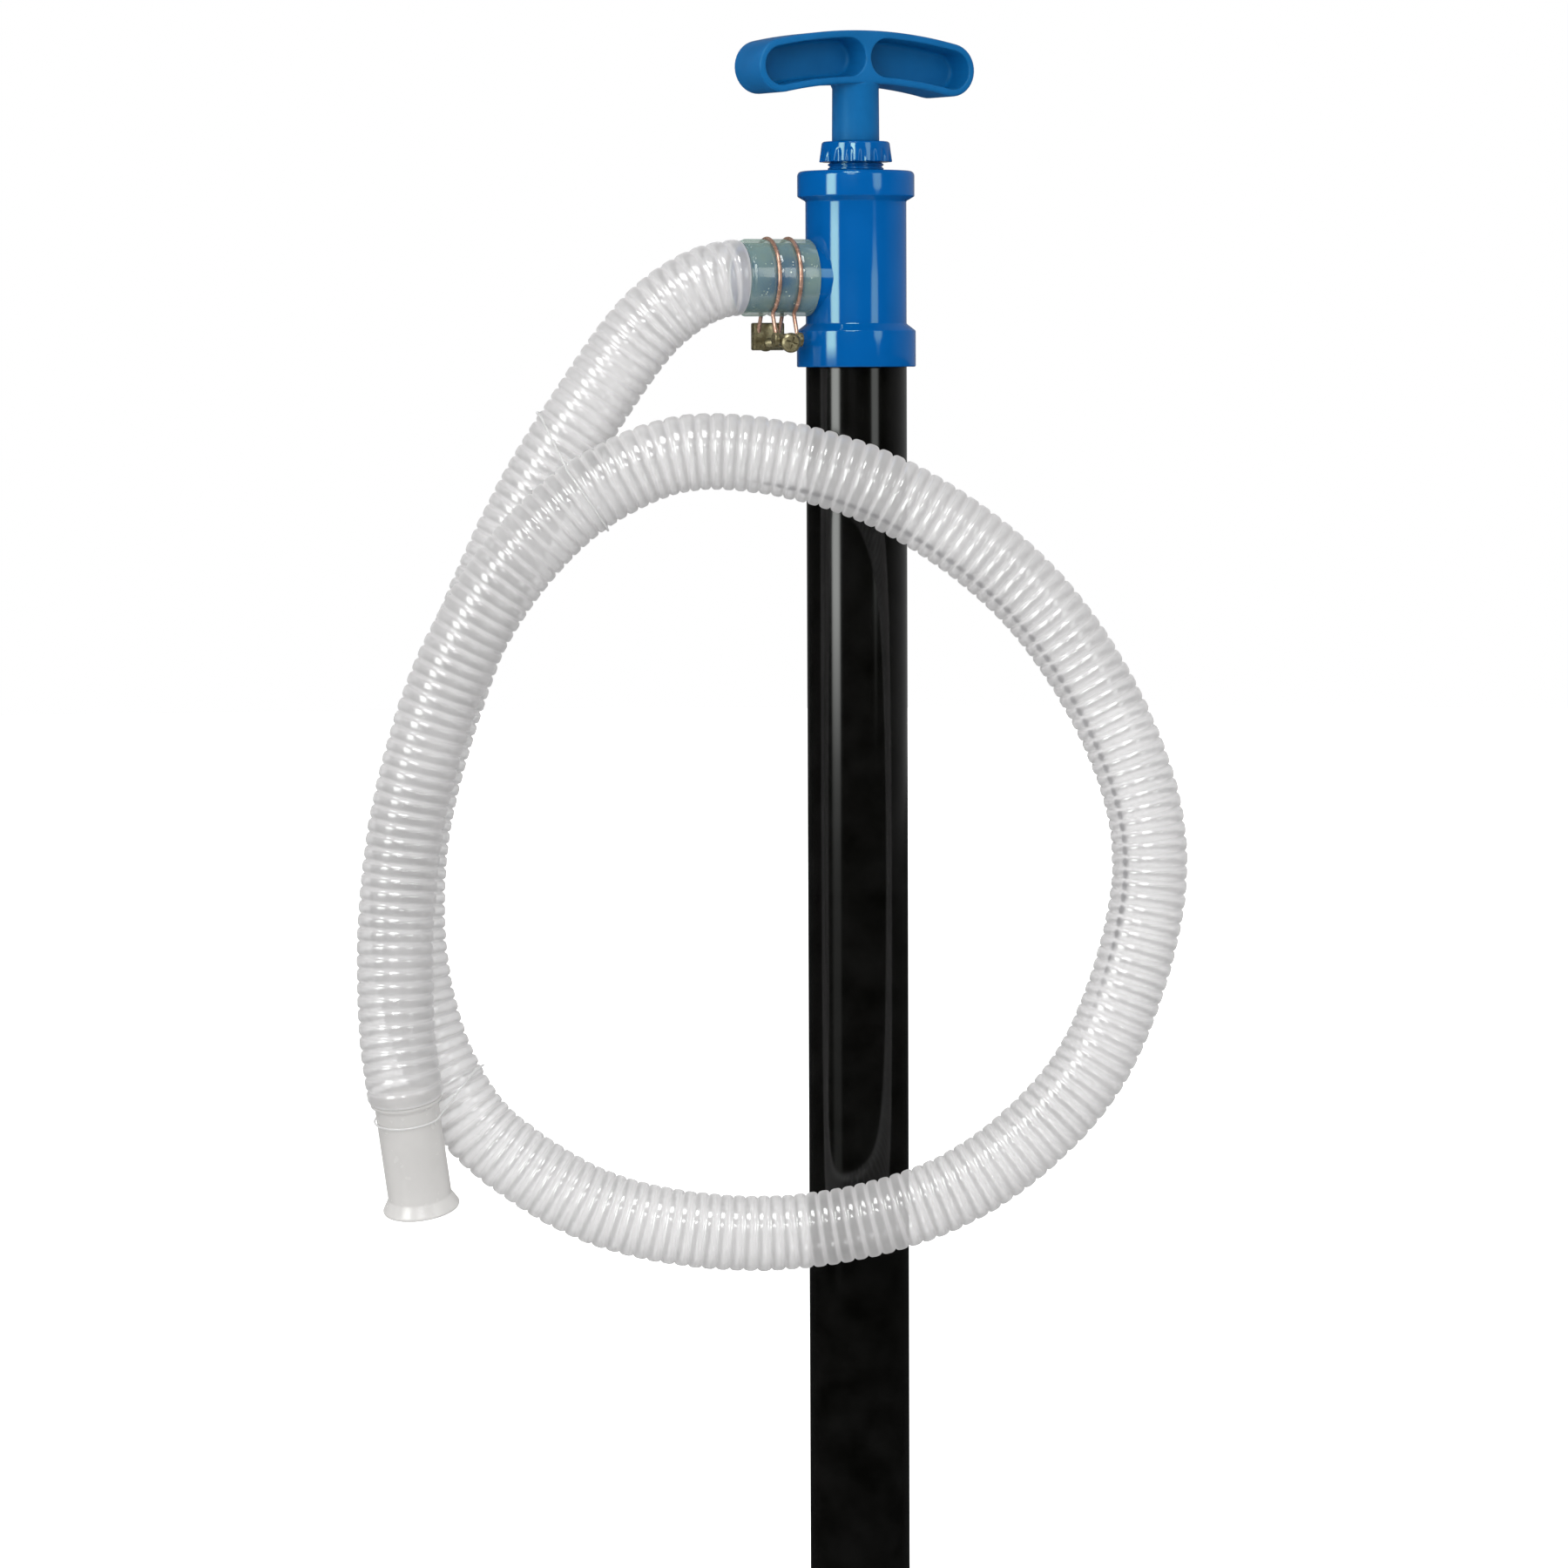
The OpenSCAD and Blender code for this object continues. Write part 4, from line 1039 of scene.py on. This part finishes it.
def build_world():
    """White to the camera, a soft fill with a brighter backdrop, dark reflections but at the right rear."""
    world = bpy.data.worlds.new("studio")
    bpy.context.scene.world = world
    world.use_nodes = True
    tree = world.node_tree
    tree.nodes.clear()
    path = tree.nodes.new("ShaderNodeLightPath")
    out = tree.nodes.new("ShaderNodeOutputWorld")
    coord = tree.nodes.new("ShaderNodeTexCoord")

    def shade(toward=None, start=0.0, low=1.0, high=1.0):
        """A background that grows from low to high towards a direction."""
        background = tree.nodes.new("ShaderNodeBackground")
        if toward is None:
            return background.outputs[0]
        facing = tree.nodes.new("ShaderNodeVectorMath")
        facing.operation = "DOT_PRODUCT"
        facing.inputs[1].default_value = toward.normalized()
        tree.links.new(coord.outputs["Generated"], facing.inputs[0])
        ramp = tree.nodes.new("ShaderNodeMapRange")
        for key, value in (("From Min", start), ("From Max", 1.0), ("To Min", low), ("To Max", high)):
            ramp.inputs[key].default_value = value
        tree.links.new(facing.outputs["Value"], ramp.inputs["Value"])
        background.inputs["Color"].default_value = (1, 1, 1, 1)
        tree.links.new(ramp.outputs["Result"], background.inputs["Strength"])
        return background.outputs[0]

    seen = shade()
    seen.node.inputs["Color"].default_value = (1, 1, 1, 1)
    mirrored = shade(CAMERA_RIGHT * 0.6 - CAMERA_BACK * 0.8, 0.25, 0.01, 0.26)
    other = shade(-CAMERA_BACK, 0.0, FILL, BACKDROP)
    inner = tree.nodes.new("ShaderNodeMixShader")
    outer = tree.nodes.new("ShaderNodeMixShader")
    tree.links.new(path.outputs["Is Glossy Ray"], inner.inputs[0])
    tree.links.new(other, inner.inputs[1])
    tree.links.new(mirrored, inner.inputs[2])
    tree.links.new(path.outputs["Is Camera Ray"], outer.inputs[0])
    tree.links.new(inner.outputs[0], outer.inputs[1])
    tree.links.new(seen, outer.inputs[2])
    tree.links.new(outer.outputs[0], out.inputs["Surface"])


def panel(name, turn, rise, distance, size, look_at, energy):
    """An area light at an angle right of the camera and above the level, facing a point."""
    a, e = math.radians(turn), math.radians(rise)
    level = math.cos(a) * CAMERA_BACK + math.sin(a) * CAMERA_RIGHT
    back = level * math.cos(e) + UP * math.sin(e)
    data = bpy.data.lights.new(name, "AREA")
    data.shape = "RECTANGLE"
    data.size, data.size_y = size
    data.energy = energy
    light = bpy.data.objects.new(name, data)
    light.location = look_at + back * distance
    light.rotation_mode = "QUATERNION"
    light.rotation_quaternion = back.to_track_quat("Z", "Y")
    light.visible_camera = False
    bpy.context.scene.collection.objects.link(light)
    return light


def strip_light(name, turn, width, radiance, levels, tint=(1, 1, 1), taper=0.0):
    """A tall panel with soft sides, seen only in reflections.

    levels are (height in metres, share of the full radiance), from the bottom to the top;
    taper narrows the panel where it's dim.
    """
    low, high = levels[0][0], levels[-1][0]
    area = width * (high - low)
    light = panel(name, turn, 0, 1.5, (width, high - low), UP * (low + high) / 2, radiance * math.pi * area)
    light.visible_diffuse = False
    data = light.data
    data.color = tint
    data.use_nodes = True
    tree = data.node_tree
    glow = next(node for node in tree.nodes if node.type == "EMISSION")
    place = tree.nodes.new("ShaderNodeNewGeometry")
    split = tree.nodes.new("ShaderNodeSeparateXYZ")
    ramp = tree.nodes.new("ShaderNodeValToRGB")
    side = tree.nodes.new("ShaderNodeMapRange")
    for key, value in (("From Min", 0), ("From Max", 1), ("To Min", -1), ("To Max", 1)):
        side.inputs[key].default_value = value
    tree.links.new(place.outputs["Parametric"], split.inputs[0])
    tree.links.new(split.outputs["X"], side.inputs["Value"])
    tree.links.new(split.outputs["Y"], ramp.inputs[0])
    narrow = tree.nodes.new("ShaderNodeMapRange")
    for key, value in (("From Min", 0), ("From Max", 1), ("To Min", 1 + taper), ("To Max", 1)):
        narrow.inputs[key].default_value = value
    tree.links.new(ramp.outputs["Color"], narrow.inputs["Value"])
    spread = tree.nodes.new("ShaderNodeMath")
    spread.operation = "MULTIPLY"
    tree.links.new(side.outputs["Result"], spread.inputs[0])
    tree.links.new(narrow.outputs["Result"], spread.inputs[1])
    value = spread.outputs[0]
    for operation, number in (("ABSOLUTE", 0), ("POWER", 5.0), ("SUBTRACT", 0), ("POWER", 1.3)):
        step = tree.nodes.new("ShaderNodeMath")
        step.operation = operation
        step.use_clamp = operation == "SUBTRACT"
        if operation == "SUBTRACT":
            step.inputs[0].default_value = 1.0
            tree.links.new(value, step.inputs[1])
        else:
            tree.links.new(value, step.inputs[0])
            step.inputs[1].default_value = number
        value = step.outputs[0]
    both = tree.nodes.new("ShaderNodeMath")
    both.operation = "MULTIPLY"
    tree.links.new(ramp.outputs["Color"], both.inputs[0])
    tree.links.new(value, both.inputs[1])
    tree.links.new(both.outputs[0], glow.inputs["Strength"])
    for i, (height, share) in enumerate(levels):
        spot = (height - low) / (high - low)
        stop = ramp.color_ramp.elements[i] if i < 2 else ramp.color_ramp.elements.new(spot)
        stop.position = spot
        stop.color = (share, share, share, 1)


def gloss_spot(name, turn, rise, size, radiance):
    """A small panel seen only in reflections: it puts the dashes on the hose's ribs."""
    light = panel(name, turn, rise, 2.2, size, UP * 0.55, radiance * math.pi * size[0] * size[1])
    light.visible_diffuse = False


def soft_fill(name, turn, rise, size, radiance):
    """A broad light that shapes matte surfaces and isn't seen in reflections."""
    light = panel(name, turn, rise, 2.4, (size, size), UP * 0.5, radiance * math.pi * size * size)
    light.visible_glossy = False


def build_camera():
    """Long lens turned and tilted a little, high enough that the barrel's foot is out of view."""
    pitch = math.radians(4.5)
    frame_width = 782.61 * MM
    distance = 2.7
    aim = CAMERA_RIGHT * (-36.8 * MM) + UP * (HEAD_Z - 207.4) * MM
    back = CAMERA_BACK * math.cos(pitch) + UP * math.sin(pitch)
    data = bpy.data.cameras.new("camera")
    data.sensor_width = 36
    data.lens = 36 * distance / frame_width
    data.clip_end = 50
    camera = bpy.data.objects.new("camera", data)
    camera.location = aim + back * distance
    look = back.to_track_quat("Z", "Y").to_matrix().to_4x4()
    roll = Matrix.Rotation(math.radians(-0.25), 4, "Z")
    camera.rotation_mode = "QUATERNION"
    camera.rotation_quaternion = (look @ roll).to_quaternion()
    bpy.context.scene.collection.objects.link(camera)
    bpy.context.scene.camera = camera


build_floor()
build_world()
strip_light("left_panel", -50, 0.62, 8.5,
            [(0.0, 0.03), (0.42, 0.05), (0.55, 0.14), (0.68, 0.7), (0.74, 1.0), (1.6, 1.0)],
            (0.97, 1.0, 0.97))
strip_light("right_panel", 42, 0.60, 2.8,
            [(0.6, 0.03), (0.74, 0.12), (0.86, 0.9), (1.6, 1.0)], (0.97, 1.0, 0.97), 2.0)
gloss_spot("top_spot", -12, 57, (0.8, 0.7), 12)
gloss_spot("brow_spot", -10, 25, (0.5, 0.26), 11)
soft_fill("front_fill", -14, 24, 1.4, 4.6)
build_camera()

scene = bpy.context.scene
scene.view_settings.view_transform = "Standard"
scene.cycles.transparent_max_bounces = 32
scene.cycles.max_bounces = 10
scene.cycles.use_denoising = True
